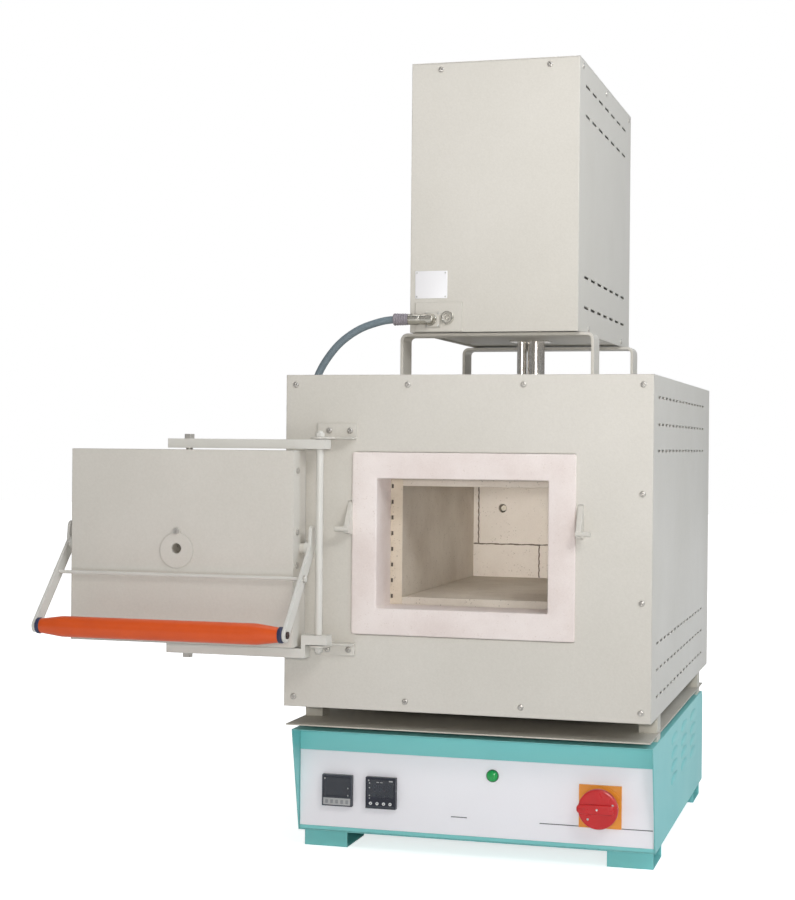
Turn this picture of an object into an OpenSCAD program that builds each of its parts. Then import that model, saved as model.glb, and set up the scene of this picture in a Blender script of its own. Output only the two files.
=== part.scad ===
// Dental laboratory furnace: an insulated chamber on a control base, with a parallel-swing
// door, and an afterburner tower on a stand. Millimetres, +Z up, the door side faces -Y.
// The origin lies on the bench, below the middle of the insulated body.

/* [Insulated body] */
// Width of the body casing
body_w = 560; // [540:2:620]
// Depth of the body casing
body_d = 760; // [740:5:840]
// Height of the body casing
body_h = 505; // [480:5:560]
// Sheet thickness of the body casing
casing_t = 2; // [1:0.5:3]
// Height of the chamber axis above the underside of the casing
chamber_rise = 251; // [240:1:265]
// Ventilation slots in each row of a side panel
vent_count = 15; // [5:1:18]
// Length of one ventilation slot
vent_l = 26; // [12:1:30]
// Height of one ventilation slot
vent_h = 3.5; // [2:0.5:5]

/* [Mouth and chamber] */
// Width of the refractory mouth frame
mouth_frame_w = 333; // [320:1:345]
// Height of the refractory mouth frame
mouth_frame_h = 275; // [262:1:290]
// Clear width of the mouth
mouth_w = 260; // [245:1:275]
// Clear height of the mouth
mouth_h = 195; // [185:1:205]
// Depth from the front plate to the heated chamber
mouth_d = 75; // [60:1:90]
// How far the mouth frame stands in front of the front plate
mouth_proud = 4; // [2:0.5:6]
// Bevel round the front of the mouth frame
mouth_bevel = 3; // [1:0.5:3.5]
// Clear width of the chamber
chamber_w = 230; // [215:1:240]
// Clear height of the chamber
chamber_h = 171; // [160:1:180]
// Clear depth of the chamber
chamber_d = 470; // [400:5:480]
// Thickness of the grooved heating plates
heater_t = 22; // [19:1:26]
// Thickness of the chamber roof
roof_t = 35; // [25:1:45]
// Thickness of the hearth slab
hearth_t = 30; // [20:1:40]
// Grooves for heating wire in each plate
groove_count = 8; // [4:1:10]
// Diameter of the heating wire
wire_dia = 4; // [2:0.5:6]
// Length of a back wall brick
brick_l = 228; // [215:1:240]
// Height of a back wall brick
brick_h = 114; // [100:1:125]
// Thickness of the back wall
brick_t = 64; // [50:1:75]

/* [Control base] */
// Width of the base cover
base_w = 558; // [540:2:600]
// Height of the base without its feet
base_h = 162; // [150:1:185]
// Sheet thickness of the base
base_t = 1.5; // [1:0.5:2.5]
// Set back of the cover's front edge from the body front
base_setback = 33; // [20:1:45]
// How far the cover's front edge slopes back to the panel
base_slope = 37; // [25:1:50]
// Set back of the base from the back of the body
base_tail = 59; // [45:1:75]
// Radius of the cover's upper rear edge
base_corner_r = 18; // [10:1:22]
// Height of a foot
foot_h = 27; // [15:1:40]
// Width of a foot
foot_w = 70; // [50:1:90]
// Length of a foot, front to back
foot_l = 90; // [60:1:110]
// Sheet thickness of a foot
foot_t = 2; // [1:0.5:3]

/* [Heat shield] */
// Thickness of the heat shield plate
shield_t = 2; // [1:0.5:3]
// Gap between the base cover and the heat shield
shield_gap = 11; // [8:1:20]
// Gap between the heat shield and the body
body_gap = 28; // [20:1:40]
// Width of a spacer tube
spacer_w = 28; // [20:1:40]
// Length of a spacer tube, front to back
spacer_l = 35; // [25:1:50]
// Wall of a spacer tube
spacer_t = 2.5; // [1.5:0.5:4]

/* [Panel fittings] */
// Height of the controller and switch axis above the bench
panel_axis_z = 93; // [88:1:98]
// Face size of a temperature controller
ctrl_face = 48; // [46:1:50]
// How far a controller stands in front of the panel
ctrl_proud = 9; // [6:1:12]
// Depth of a controller behind the panel
ctrl_depth = 75; // [50:1:95]
// Diameter of a controller key
key_dia = 4.8; // [3.6:0.2:5.4]
// Travel of a controller key
key_travel = 0.8; // [0.4:0.1:1.2]
// Diameter of the pilot lamp bezel
lamp_dia = 18; // [16:1:22]
// Side of the square switch plate
plate_side = 64; // [60:1:72]
// Diameter of the switch knob
knob_dia = 60; // [50:1:62]

/* [Door] */
// Width of the door shell
door_w = 359; // [352:1:362]
// Height of the door shell
door_h = 292; // [289:1:293]
// Thickness of the door shell
door_t = 54; // [50:1:58]
// Gap between the door shell and the body front when shut
door_gap = 28; // [26:1:32]
// How far the door shell hangs below the chamber axis
door_drop = 7; // [6:1:8]
// Sheet thickness of the door shell
door_sheet = 1.5; // [1:0.5:2]
// How far the plug reaches into the mouth when the door is shut
plug_reach = 21; // [12:1:24]
// Clearance between the plug and the mouth
plug_clear = 5; // [4:0.5:8]
// Gap between the plug face and the mouth frame when shut
seat_gap = 2; // [1:0.5:3]
// Distance from the hinge post to the door pivot
swing_r = 209; // [208:0.5:212]
// Distance from the door face to the pivot line
pivot_back = 32; // [30:1:34]
// Diameter of the hinge post
post_dia = 11; // [8:1:12]
// Height of an arm bar
arm_h = 14; // [10:1:16]
// Width of an arm bar
arm_w = 25; // [20:1:28]
// Gap between an arm and the door
arm_gap = 2.5; // [1.5:0.5:4]
// Diameter of the door pivot bolts
bolt_dia = 10; // [8:1:12]

/* [Handle] */
// Length of a side boss on the door
boss_l = 8.5; // [7:0.5:9]
// Thickness of a handle lever
lever_t = 4.5; // [4:0.5:5]
// Width of a handle lever
lever_w = 20; // [16:1:24]
// How far the grip hangs in front of the pivot line
grip_out = 113; // [105:1:120]
// How far the grip hangs below the lever pivot
grip_drop = 118; // [110:1:125]
// Greatest diameter of the grip
grip_dia = 31; // [26:1:34]
// Diameter of the grip at its ends
grip_end_dia = 19; // [16:1:22]
// Diameter of the cross rod
rod_dia = 5.6; // [4:0.2:6]
// Diameter of a catch peg
peg_dia = 7; // [5:0.5:7.5]

/* [Afterburner tower] */
// Width of the tower
tower_w = 272; // [260:2:290]
// Depth of the tower
tower_d = 535; // [500:5:560]
// Height of the tower
tower_h = 430; // [400:5:470]
// Distance from the body front to the tower front
tower_setback = 182; // [170:1:190]
// Gap between the body and the tower
stand_h = 75; // [60:1:95]
// Sheet thickness of the tower
tower_t = 1.5; // [1:0.5:2.5]
// Width of a stand bracket, front to back
stand_w = 50; // [40:1:60]
// Thickness of a stand bracket
stand_t = 5; // [4:0.5:7]
// How far a stand leg stands outside the tower
stand_out = 22; // [15:1:30]
// Diameter of the flue tube
flue_dia = 30; // [24:1:32]
// Diameter of the vent tube
vent_tube_dia = 17; // [12:1:17]
// Outside diameter of the exhaust collar
exhaust_dia = 80; // [60:2:90]
// Height of the exhaust collar above the lid
exhaust_h = 35; // [20:1:40]

/* [Hidden] */

$fn = 48;

// Gap between neighbouring pieces of one body
fit = 0.3;
// Radial clearance of a turning or sliding fit
run = 0.06;
// Length by which a cut runs past the surface it opens
cut = 1;

// Heights of the stack, from the bench up
base_z0 = foot_h;
base_z1 = base_z0 + base_h;
shield_z0 = base_z1 + shield_gap;
shield_z1 = shield_z0 + shield_t;
body_z0 = shield_z1 + body_gap;
body_z1 = body_z0 + body_h;
axis_z = body_z0 + chamber_rise;
tower_z0 = body_z1 + stand_h;
tower_z1 = tower_z0 + tower_h;

// Space for terminals between the insulation and the rear panel
terminal_space = 59;
// Air space beside and above the insulation, with the casing
side_space = 30;
roof_space = 20;

// Planes from front to back
front_y = -body_d / 2;
back_y = body_d / 2;
base_y0 = front_y + base_setback;
panel_y = base_y0 + base_slope;
base_y1 = back_y - base_tail;
chamber_y0 = front_y + mouth_d;
chamber_y1 = chamber_y0 + chamber_d;
board_y1 = back_y - casing_t - terminal_space;
tower_y0 = front_y + tower_setback;
tower_y1 = tower_y0 + tower_d;

// Insulation round the chamber
board_x = body_w / 2 - side_space;
heater_x = chamber_w / 2 + heater_t;
hearth_z0 = axis_z - chamber_h / 2 - hearth_t;
roof_z1 = axis_z + chamber_h / 2 + roof_t;
board_z1 = body_z1 - roof_space;

// Tubes between chamber and tower
flue_y = chamber_y1 - 60;
flue_x = 8.5;
tube_gap = 1.5;
vent_x = flue_x - (flue_dia + vent_tube_dia) / 2 - tube_gap;
flue_wall = 2;
core_bore_r = 35;
collar_drop = 20;
probe_x = -62;
probe_z = axis_z + 37;
probe_dia = 10;
probe_hole_dia = 15;
probe_in = 10;
probe_head_r = 19;
probe_head_gap = 2;
probe_head_l = terminal_space - 23;

// Door, drawn open: the arms point to the left of the hinge post
post_x = -swing_r;
door_x = post_x - swing_r;
door_z = axis_z - door_drop;
door_y0 = front_y - door_gap - door_t;
door_y1 = door_y0 + door_t;
pivot_y = door_y0 + pivot_back;
seat_y = front_y - mouth_proud - seat_gap;
top_arm_z0 = door_z + door_h / 2 + arm_gap;
low_arm_z1 = door_z - door_h / 2 - arm_gap;
stub_r = 4;
leaf_t = 3;
leaf_gap = 1;
block_z0 = low_arm_z1 + 6;
block_half = 17;
riser_t = 6;
arm_over = 30;
arm_tail = 13;
bush_r = 9;
bush_l = 20;
air_x = -6;
air_z = door_z - 3;
air_r = 7.6;
damper_screw_z = 26;
damper_r = 27;
damper_t = 1.5;
damper_drop = 3;

// Handle, measured from the lever pivot at the middle of the door
hook_t = 6.2;
boss_r = 8;
boss_x = door_w / 2 + boss_l;
hook_x = boss_x + fit;
lever_x = hook_x + hook_t;
pin_r = 4;
rod_share = 0.36;
latch_angle = 6;
peg_in = 5;
peg_out = 26;
peg_up = 29;
peg_x0 = mouth_frame_w / 2 + peg_in;
peg_x1 = lever_x - 1;
gusset_t = 8;
lever_top = 34;

// Panel fittings
ctrl_in = 65.5;
ctrl_pitch = 70.5;
switch_in = 82.5;
ctrl_left_x = -base_w / 2 + ctrl_in;
ctrl_right_x = ctrl_left_x + ctrl_pitch;
lamp_x = 31.5;
lamp_z = panel_axis_z + 36;
switch_x = base_w / 2 - switch_in;
overlay_t = 0.4;
overlay_z0 = base_z0 + 8;
overlay_z1 = base_z0 + 126;
ctrl_body = ctrl_face - 3.4;
panel_face_y = panel_y - overlay_t;
window_t = 1;
key_pitch = 10.4;
key_drop = 16;
key_l = 5;
key_proud = 1;
shaft_r = 5;
knob_gap = 0.5;
plate_t = 3;

// Connector on the tower front
socket_x = -98;
signal_x = -73.5;
socket_z = tower_z0 + 20;
signal_z = tower_z0 + 23;
socket_plate_x0 = -127;
socket_plate_x1 = -50;
socket_plate_h = 48;
socket_t = 2;
plug_y = tower_y0 - socket_t - 12.5;
barrel_r = 7.8;
barrel_l = 35;
boot_l = 24;
boot_r = 10;

// Cable from the tower plug to the gland in the side of the base
cable_r = 6;
cable_sides = 10;
cable_steps = 4;
gland_l = 22;
gland_y = -14;
gland_z = 105;
cable_points = [[-157, -212.5, 830], [-180, -212.5, 827], [-214, -212.5, 816],
    [-244, -212.5, 797], [-266, -212, 774], [-284, -211, 746], [-297, -209, 712],
    [-305, -205, 672], [-311, -198, 628], [-316, -188, 580], [-321, -174, 530],
    [-327, -157, 480], [-333, -138, 430], [-339, -117, 380], [-345, -96, 330],
    [-350, -75, 280], [-354, -54, 230], [-355, -34, 185], [-352, -20, 148],
    [-338, -14, 118], [-320, -14, 107], [-301, -14, 105]];

// Fasteners
screw_r = 2.5;
screw_head_r = 4.6;
screw_head_h = 2.6;
screw_l = 9;
screw_in = 15;
screw_cols = [for (k = [-3, -1, 1, 3]) k / 3 * (body_w / 2 - screw_in)];
screw_rows = [for (k = [-3, -1, 1, 3]) body_h / 2 + k / 3 * (body_h / 2 - screw_in)];
bracket_screw_x = [post_x - 1, post_x + 32];

// Box between two opposite corners
module block(lo, hi) { translate(lo) cube(hi - lo); }

// Sheet that faces the front: children are drawn in X and Z
module facing(y, t) { translate([0, y + t, 0]) rotate([90, 0, 0]) linear_extrude(t) children(); }

// Sheet that faces the side: children are drawn in Y and Z
module sideways(x, t) { translate([x, 0, 0]) rotate([90, 0, 90]) linear_extrude(t) children(); }

// Rectangle between two opposite corners
module area(lo, hi) { translate(lo) square(hi - lo); }

// Cylinder along X, from x to x + l
module rod_x(x, y, z, r, l) { translate([x, y, z]) rotate([0, 90, 0]) cylinder(r = r, h = l); }

// Cylinder along Y, from y to y + l
module rod_y(x, y, z, r, l) { translate([x, y, z]) rotate([-90, 0, 0]) cylinder(r = r, h = l); }

// Pan head screw: the shank points along +Z, the head lies below the origin
module screw() {
    cylinder(r = screw_r, h = screw_l);
    translate([0, 0, -screw_head_h]) difference() {
        cylinder(r = screw_head_r, h = screw_head_h);
        for (turn = [0, 90]) rotate(turn) translate([-2.4, -0.5, -cut]) cube([4.8, 1, cut + 1.2]);
    }
}

// How far a bar's straight edges lie inside its round ends
edge_in = 0.02;

// Outline of a flat bar through some points, with round ends and corners
module bar_outline(points, w) {
    for (p = points) translate(p) circle(d = w);
    for (i = [0 : len(points) - 2])
        let (a = points[i], b = points[i + 1], way = b - a)
            translate(a) rotate(atan2(way[1], way[0])) translate([0, edge_in - w / 2])
                square([norm(way), w - 2 * edge_in]);
}

// Outline of the base seen from the side, drawn in from the cover by a margin
module base_side(margin) {
    r = base_corner_r - margin;
    top = base_z1 - margin;
    rear = base_y1 - margin;
    difference() {
        polygon([[base_y0, top], [panel_y, base_z0], [rear, base_z0], [rear, top]]);
        difference() {
            area([rear - r, top - r], [rear + cut, top + cut]);
            translate([rear - r, top - r]) circle(r);
        }
    }
}

louvre_cols = [-85, 45, 172];
louvre_rows = [73, 95, 117, 139];
louvre_l = 82;
louvre_h = 13;
louvre_out = 3;

// Pressed louvres on one side of the base cover, each a flat bump with a sloping hood
module louvres(side) {
    for (y = louvre_cols) for (z = louvre_rows) translate([side * base_w / 2, y - louvre_l / 2, base_z0 + z])
        rotate([90, 0, 90 - 90 * side]) translate([0, 0, -louvre_l * (1 + side) / 2]) linear_extrude(louvre_l)
            polygon([[-base_t, -louvre_h / 2], [louvre_out, -louvre_h / 2], [0, louvre_h / 2],
                [-base_t, louvre_h / 2]]);
}

module base_cover() color([0.44, 0.74, 0.77]) difference() {
    union() {
        sideways(-base_w / 2, base_w) base_side(0);
        louvres(1);
        louvres(-1);
    }
    sideways(-base_w / 2 + base_t, base_w - 2 * base_t) {
        base_side(base_t);
        polygon([[base_y0 - cut, base_z1 - 7], [base_y0 - cut, base_z0 - cut],
            [base_y1 - base_t, base_z0 - cut], [base_y1 - base_t, base_z1 - 30],
            [panel_y, base_z1 - 7]]);
        area([base_y0 + base_t, base_z0 - cut], [base_y1 - base_t, base_z1 - base_corner_r]);
        area([base_y1 - base_t - cut, base_z0 - cut], [base_y1 + cut, base_z1 - 30]);
    }
    rod_x(-base_w / 2 - cut, gland_y, gland_z, 8.3, base_t + 2 * cut);
}

module base_front_panel() color([0.44, 0.74, 0.77]) facing(panel_y, base_t) difference() {
    area([-base_w / 2 + base_t + fit, base_z0 + base_t + fit],
        [base_w / 2 - base_t - fit, base_z1 - base_t - fit]);
    panel_cutouts();
}

// Openings in the front panel and its overlay
module panel_cutouts() {
    for (x = [ctrl_left_x, ctrl_right_x]) translate([x, panel_axis_z]) square(ctrl_body + fit, center = true);
    translate([lamp_x, lamp_z]) circle(lamp_dia / 2 - 1);
    translate([switch_x, panel_axis_z]) circle(shaft_r + 4);
}

module panel_overlay() color([0.9, 0.9, 0.92]) facing(panel_face_y, overlay_t) difference() {
    area([-base_w / 2 + base_t + 1, overlay_z0], [base_w / 2 - base_t - 1, overlay_z1]);
    panel_cutouts();
}

module base_chassis() color([0.5, 0.7, 0.73]) difference() {
    inner_x = base_w / 2 - base_t - fit;
    union() {
        block([-inner_x, panel_y, base_z0], [inner_x, base_y1, base_z0 + base_t]);
        block([-inner_x, base_y1 - base_t, base_z0], [inner_x, base_y1, base_z1 - 30 - fit]);
    }
    rod_y(mains_x, base_y1 - base_t - cut, mains_z, 10.3, base_t + 2 * cut);
}

foot_in = 5;
foot_front = 17;

module base_feet() color([0.44, 0.74, 0.77])
    for (x = [-base_w / 2 + foot_in, base_w / 2 - foot_in - foot_w])
        for (y = [panel_y + foot_front, base_y1 - foot_l - 1])
            sideways(x, foot_w) difference() {
                area([y, 0], [y + foot_l, foot_h]);
                area([y + foot_t, foot_t], [y + foot_l - foot_t, foot_h - foot_t]);
                area([y + foot_l / 4, foot_h - foot_t - cut], [y + foot_l * 3 / 4, foot_h + cut]);
            }

module heat_shield() color([0.55, 0.53, 0.5])
    block([-body_w / 2 + shield_in, front_y + 5, shield_z0], [body_w / 2 - shield_in, base_y1, shield_z1]);

shield_in = 1.5;
spacer_x = body_w / 2 - casing_t - 1;
spacer_front = 95;
spacer_rear = 36;

// One square spacer tube standing on z
module spacer(x, y, z, h) difference() {
    block([x, y, z], [x + spacer_w, y + spacer_l, z + h]);
    block([x + spacer_t, y + spacer_t, z - cut],
        [x + spacer_w - spacer_t, y + spacer_l - spacer_t, z + h + cut]);
}

module spacers() color([0.72, 0.7, 0.66])
    for (x = [-spacer_x, spacer_x - spacer_w])
        for (y = [front_y + spacer_front, base_y1 - spacer_rear - spacer_l]) {
            spacer(x, y, base_z1, shield_gap);
            spacer(x, y, shield_z1, body_gap);
        }

module front_plate() color([0.8, 0.79, 0.74]) facing(front_y, casing_t) difference() {
    area([-body_w / 2, body_z0], [body_w / 2, body_z1]);
    translate([0, axis_z]) square([mouth_frame_w + 2 * fit, mouth_frame_h + 2 * fit], center = true);
    for (x = screw_cols) for (z = screw_rows) if (at_edge(x, z)) translate([x, body_z0 + z])
        circle(screw_r + fit);
    for (x = bracket_screw_x) for (z = [bracket_top_z, bracket_low_z]) translate([x, z])
        circle(screw_r + fit);
}

// True for the screws round the edge of the front plate
function at_edge(x, z) = x == screw_cols[0] || x == screw_cols[3] || z == screw_rows[0] || z == screw_rows[3];

vent_y0 = front_y + 52;
vent_y1 = back_y - 95;
vent_pitch = (vent_y1 - vent_y0 - vent_l) / (vent_count - 1);
vent_low = [32, 72, 111];

// Side panel of the body with three rows of slots above and three below
module side_panel(x) color([0.77, 0.78, 0.78]) sideways(x, casing_t) difference() {
    area([front_y + casing_t, body_z0], [back_y - casing_t, body_z1]);
    for (i = [0 : vent_count - 1]) for (z = vent_low) for (row = [body_z0 + z, body_z1 - z])
        translate([vent_y0 + i * vent_pitch, row - vent_h / 2]) square([vent_l, vent_h]);
}

module left_side_panel() side_panel(-body_w / 2);
module right_side_panel() side_panel(body_w / 2 - casing_t);

panel_in = body_w / 2 - casing_t;

module top_panel() color([0.8, 0.79, 0.74]) difference() {
    block([-panel_in, front_y + casing_t, body_z1 - casing_t], [panel_in, back_y - casing_t, body_z1]);
    translate([flue_x, flue_y, body_z0]) cylinder(r = flue_dia / 2 + fit, h = body_h + cut);
    translate([vent_x, flue_y, body_z0]) cylinder(r = vent_tube_dia / 2 + 0.2, h = body_h + cut);
}

module bottom_panel() color([0.8, 0.79, 0.74])
    block([-panel_in, front_y + casing_t, body_z0], [panel_in, back_y - casing_t, body_z0 + casing_t]);

module rear_panel() color([0.8, 0.79, 0.74])
    block([-body_w / 2, back_y - casing_t, body_z0], [body_w / 2, back_y, body_z1]);

tower_screw_x = 88;
tower_screw_y = [26, 252, 507];
tower_screw_drop = 11;
tower_low_screw_y = [95, 438];
tower_low_screw_z = 9;

module casing_screws() color([0.7, 0.7, 0.7]) {
    for (x = screw_cols) for (z = screw_rows) if (at_edge(x, z))
        translate([x, front_y, body_z0 + z]) rotate([-90, 0, 0]) screw();
    for (x = bracket_screw_x) for (z = [bracket_top_z, bracket_low_z])
        translate([x, front_y - leaf_t, z]) rotate([-90, 0, 0]) screw();
    for (x = [-tower_screw_x, tower_screw_x])
        translate([x, tower_y0, tower_z1 - tower_screw_drop]) rotate([-90, 0, 0]) screw();
    for (side = [-1, 1]) {
        for (y = tower_screw_y) translate([side * tower_w / 2, tower_y0 + y, tower_z1 - tower_screw_drop])
            rotate([0, -90 * side, 0]) screw();
        for (y = tower_low_screw_y) translate([side * tower_w / 2, tower_y0 + y,
            tower_z0 + tower_low_screw_z])
            rotate([0, -90 * side, 0]) screw();
    }
}

module mouth_frame() color([0.9, 0.86, 0.84]) difference() {
    y0 = front_y - mouth_proud;
    half_w = mouth_frame_w / 2;
    half_h = mouth_frame_h / 2;
    b = mouth_bevel;
    intersection() {
        translate([0, 0, axis_z - half_h]) linear_extrude(mouth_frame_h)
            polygon([[-half_w, chamber_y0 - fit], [-half_w, y0 + b], [-half_w + b, y0],
                [half_w - b, y0], [half_w, y0 + b], [half_w, chamber_y0 - fit]]);
        sideways(-half_w, mouth_frame_w)
            polygon([[chamber_y0 - fit, axis_z - half_h], [y0 + b, axis_z - half_h],
                [y0, axis_z - half_h + b],
                [y0, axis_z + half_h - b], [y0 + b, axis_z + half_h], [chamber_y0 - fit, axis_z + half_h]]);
    }
    block([-mouth_w / 2, y0 - cut, axis_z - mouth_h / 2],
        [mouth_w / 2, chamber_y0 + cut, axis_z + mouth_h / 2]);
}

groove_h = chamber_h / groove_count * 0.56;
groove_pitch = chamber_h / groove_count;
groove_w = wire_dia + 1;
groove_x = mouth_w / 2 - groove_w - 0.5;

// Grooved plate beside the chamber, drawn on the +X side
module heating_plate() color([0.83, 0.79, 0.72]) difference() {
    block([chamber_w / 2, chamber_y0, axis_z - chamber_h / 2],
        [heater_x, chamber_y1, axis_z + chamber_h / 2]);
    for (i = [0 : groove_count - 1])
        translate([groove_x, chamber_y0 - cut,
            axis_z + (i - (groove_count - 1) / 2) * groove_pitch - groove_h / 2])
            cube([groove_w, chamber_d + 2 * cut, groove_h]);
}

module left_heating_plate() mirror([1, 0, 0]) heating_plate();
module right_heating_plate() heating_plate();

module chamber_roof() color([0.8, 0.77, 0.7]) difference() {
    block([-heater_x, chamber_y0, roof_z1 - roof_t], [heater_x, chamber_y1, roof_z1]);
    translate([flue_x, flue_y, roof_z1 - roof_t - cut])
        cylinder(r = flue_dia / 2 + 0.2, h = roof_t + 2 * cut);
    translate([vent_x, flue_y, roof_z1 - roof_t - cut])
        cylinder(r = vent_tube_dia / 2 + 0.2, h = roof_t + 2 * cut);
}

module hearth_slab() color([0.7, 0.65, 0.58])
    block([-heater_x, chamber_y0, hearth_z0], [heater_x, chamber_y1, hearth_z0 + hearth_t]);

brick_joint = 0.6;
brick_course_z = axis_z - 27;
upper_joint_x = -106;
lower_joint_x = 5;

// One brick of the back wall, cut to the width of the chamber block
module brick(x0, x1, z0, z1)
    block([max(x0, -heater_x) + brick_joint / 2, chamber_y1 + fit, max(z0, hearth_z0) + brick_joint / 2],
        [min(x1, heater_x) - brick_joint / 2, chamber_y1 + brick_t, min(z1, roof_z1) - brick_joint / 2]);

module back_bricks() color([0.78, 0.74, 0.68]) difference() {
    union() {
        brick(lower_joint_x - brick_l, lower_joint_x, brick_course_z - brick_h, brick_course_z);
        brick(lower_joint_x, lower_joint_x + brick_l, brick_course_z - brick_h, brick_course_z);
        brick(upper_joint_x - brick_l, upper_joint_x, brick_course_z, brick_course_z + brick_h);
        brick(upper_joint_x, upper_joint_x + brick_l, brick_course_z, brick_course_z + brick_h);
        brick(upper_joint_x + brick_l, heater_x, brick_course_z, brick_course_z + brick_h);
        brick(-heater_x, heater_x, brick_course_z + brick_h, roof_z1);
    }
    rod_y(probe_x, chamber_y1 - cut, probe_z, probe_hole_dia / 2, brick_t + 2 * cut);
}

module insulation_boards() color([0.93, 0.92, 0.88]) {
    side_x = heater_x + fit;
    block([-board_x, chamber_y0, body_z0 + casing_t], [board_x, board_y1, hearth_z0 - fit]);
    for (x = [-board_x, side_x])
        block([x, chamber_y0, hearth_z0], [x + board_x - side_x, board_y1, roof_z1]);
    difference() {
        block([-board_x, chamber_y0, roof_z1 + fit], [board_x, board_y1, board_z1]);
        translate([flue_x, flue_y, roof_z1]) cylinder(r = flue_dia / 2 + fit, h = body_h);
        translate([vent_x, flue_y, roof_z1]) cylinder(r = vent_tube_dia / 2 + 0.2, h = body_h);
    }
    difference() {
        block([-heater_x, chamber_y1 + brick_t + fit, hearth_z0], [heater_x, board_y1, roof_z1]);
        rod_y(probe_x, chamber_y1, probe_z, probe_dia / 2 + fit, brick_t * 3);
    }
    difference() {
        block([-board_x, front_y + screw_l + 3, body_z0 + casing_t], [board_x, chamber_y0 - fit, board_z1]);
        block([-mouth_frame_w / 2 - fit, front_y, axis_z - mouth_frame_h / 2 - fit],
            [mouth_frame_w / 2 + fit, chamber_y0 + cut, axis_z + mouth_frame_h / 2 + fit]);
    }
}

core_rod_r = 4;
core_rod_ring = core_bore_r + 14;

module element_wires() color([0.35, 0.33, 0.32]) {
    for (side = [-1, 1]) for (i = [0 : groove_count - 1])
        rod_y(side * (groove_x + groove_w / 2), chamber_y0 + 4,
            axis_z + (i - (groove_count - 1) / 2) * groove_pitch - groove_h / 2 + wire_dia / 2 + 0.1,
            wire_dia / 2, chamber_d - 8);
    for (turn = [45 : 90 : 315])
        translate([core_rod_ring * cos(turn), flue_y + core_rod_ring * sin(turn), core_z0 + 30])
            cylinder(r = core_rod_r, h = core_h - 60);
}

module thermocouple() color([0.85, 0.83, 0.78]) {
    head_y = board_y1 + probe_head_gap;
    rod_y(probe_x, chamber_y1 + probe_in, probe_z, probe_dia / 2, head_y - chamber_y1 - probe_in);
    rod_y(probe_x, head_y, probe_z, probe_head_r, probe_head_l);
}

// Vertical tube with a wall
module tube(x, y, z, r, wall, h) translate([x, y, z]) difference() {
    cylinder(r = r, h = h);
    translate([0, 0, -cut]) cylinder(r = r - wall, h = h + 2 * cut);
}

collar_t = 2;
collar_margin = 9;

// Collar plate round the two tubes
module tube_collar(z) translate([0, 0, z]) difference() {
    block([vent_x - vent_tube_dia / 2 - collar_margin, flue_y - flue_dia / 2 - collar_margin, 0],
        [flue_x + flue_dia / 2 + collar_margin, flue_y + flue_dia / 2 + collar_margin, collar_t]);
    translate([flue_x, flue_y, -cut]) cylinder(r = flue_dia / 2 + 0.2, h = collar_t + 2 * cut);
    translate([vent_x, flue_y, -cut]) cylinder(r = vent_tube_dia / 2 + 0.2, h = collar_t + 2 * cut);
}

module flue_tubes() color([0.8, 0.78, 0.74]) {
    tube_z0 = roof_z1 - roof_t + 5;
    tube_h = core_z0 + 12 - tube_z0;
    tube(flue_x, flue_y, tube_z0, flue_dia / 2, flue_wall, tube_h);
    tube(vent_x, flue_y, tube_z0, vent_tube_dia / 2, flue_wall, tube_h);
    tube_collar(body_z1);
    tube_collar(tower_z0 + floor_in - collar_t);
}

stand_y = [tower_y0 + 22, tower_y1 - stand_w - 42];
stand_bend = 12;
stand_foot = 28;

// Upside-down U outline with round shoulders, from the body top to the tower
module arch(half_w, top, r) {
    area([-half_w, body_z1], [half_w, top - r]);
    area([-half_w + r, body_z1], [half_w - r, top]);
    for (side = [-1, 1]) translate([side * (half_w - r), top - r]) circle(r);
}

module tower_stand() color([0.82, 0.82, 0.8]) {
    half = tower_w / 2 + stand_out;
    for (y = stand_y) facing(y, stand_w) {
        difference() {
            arch(half, tower_z0, stand_bend);
            translate([0, -cut]) arch(half - stand_t, tower_z0 - stand_t + cut, stand_bend - stand_t);
        }
        for (side = [-1, 1]) translate([side * (half - stand_foot / 2), body_z1 + stand_t / 2])
            square([stand_foot, stand_t], center = true);
    }
}

floor_in = 3;
floor_t = 2;
core_z0 = tower_z0 + floor_in + floor_t;
core_h = tower_h - floor_in - floor_t - tower_t - collar_drop - fit;
shell_in_x = tower_w / 2 - tower_t;
slot_count = 7;
slot_l = 40;
slot_h = 4;
slot_y0 = 54;
slot_pitch = 63;
slot_rows = [39, 87, 344, 391];

module tower_floor() color([0.72, 0.71, 0.68]) difference() {
    block([-shell_in_x + 0.2, tower_y0 + tower_t + 0.2, tower_z0 + floor_in],
        [shell_in_x - 0.2, tower_y1 - tower_t - 0.2, core_z0]);
    translate([flue_x, flue_y, tower_z0]) cylinder(r = flue_dia / 2 + fit, h = core_z0 - tower_z0 + cut);
    translate([vent_x, flue_y, tower_z0]) cylinder(r = vent_tube_dia / 2 + 0.2, h = core_z0 - tower_z0 + cut);
}

module tower_shell() color([0.84, 0.84, 0.82]) difference() {
    block([-tower_w / 2, tower_y0, tower_z0], [tower_w / 2, tower_y1, tower_z1 - tower_t]);
    block([-shell_in_x, tower_y0 + tower_t, tower_z0 - cut], [shell_in_x, tower_y1 - tower_t, tower_z1]);
    for (z = slot_rows) for (i = [0 : slot_count - 1])
        translate([-tower_w / 2 - cut, tower_y0 + slot_y0 + i * slot_pitch, tower_z0 + z])
            cube([tower_w + 2 * cut, slot_l, slot_h]);
    for (x = [-tower_screw_x, tower_screw_x])
        rod_y(x, tower_y0 - cut, tower_z1 - tower_screw_drop, screw_r + fit, 10);
    for (y = tower_screw_y)
        rod_x(-tower_w / 2 - cut, tower_y0 + y, tower_z1 - tower_screw_drop, screw_r + fit,
            tower_w + 2 * cut);
    for (y = tower_low_screw_y)
        rod_x(-tower_w / 2 - cut, tower_y0 + y, tower_z0 + tower_low_screw_z, screw_r + fit,
            tower_w + 2 * cut);
}

lid_flange = 7;

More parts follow.
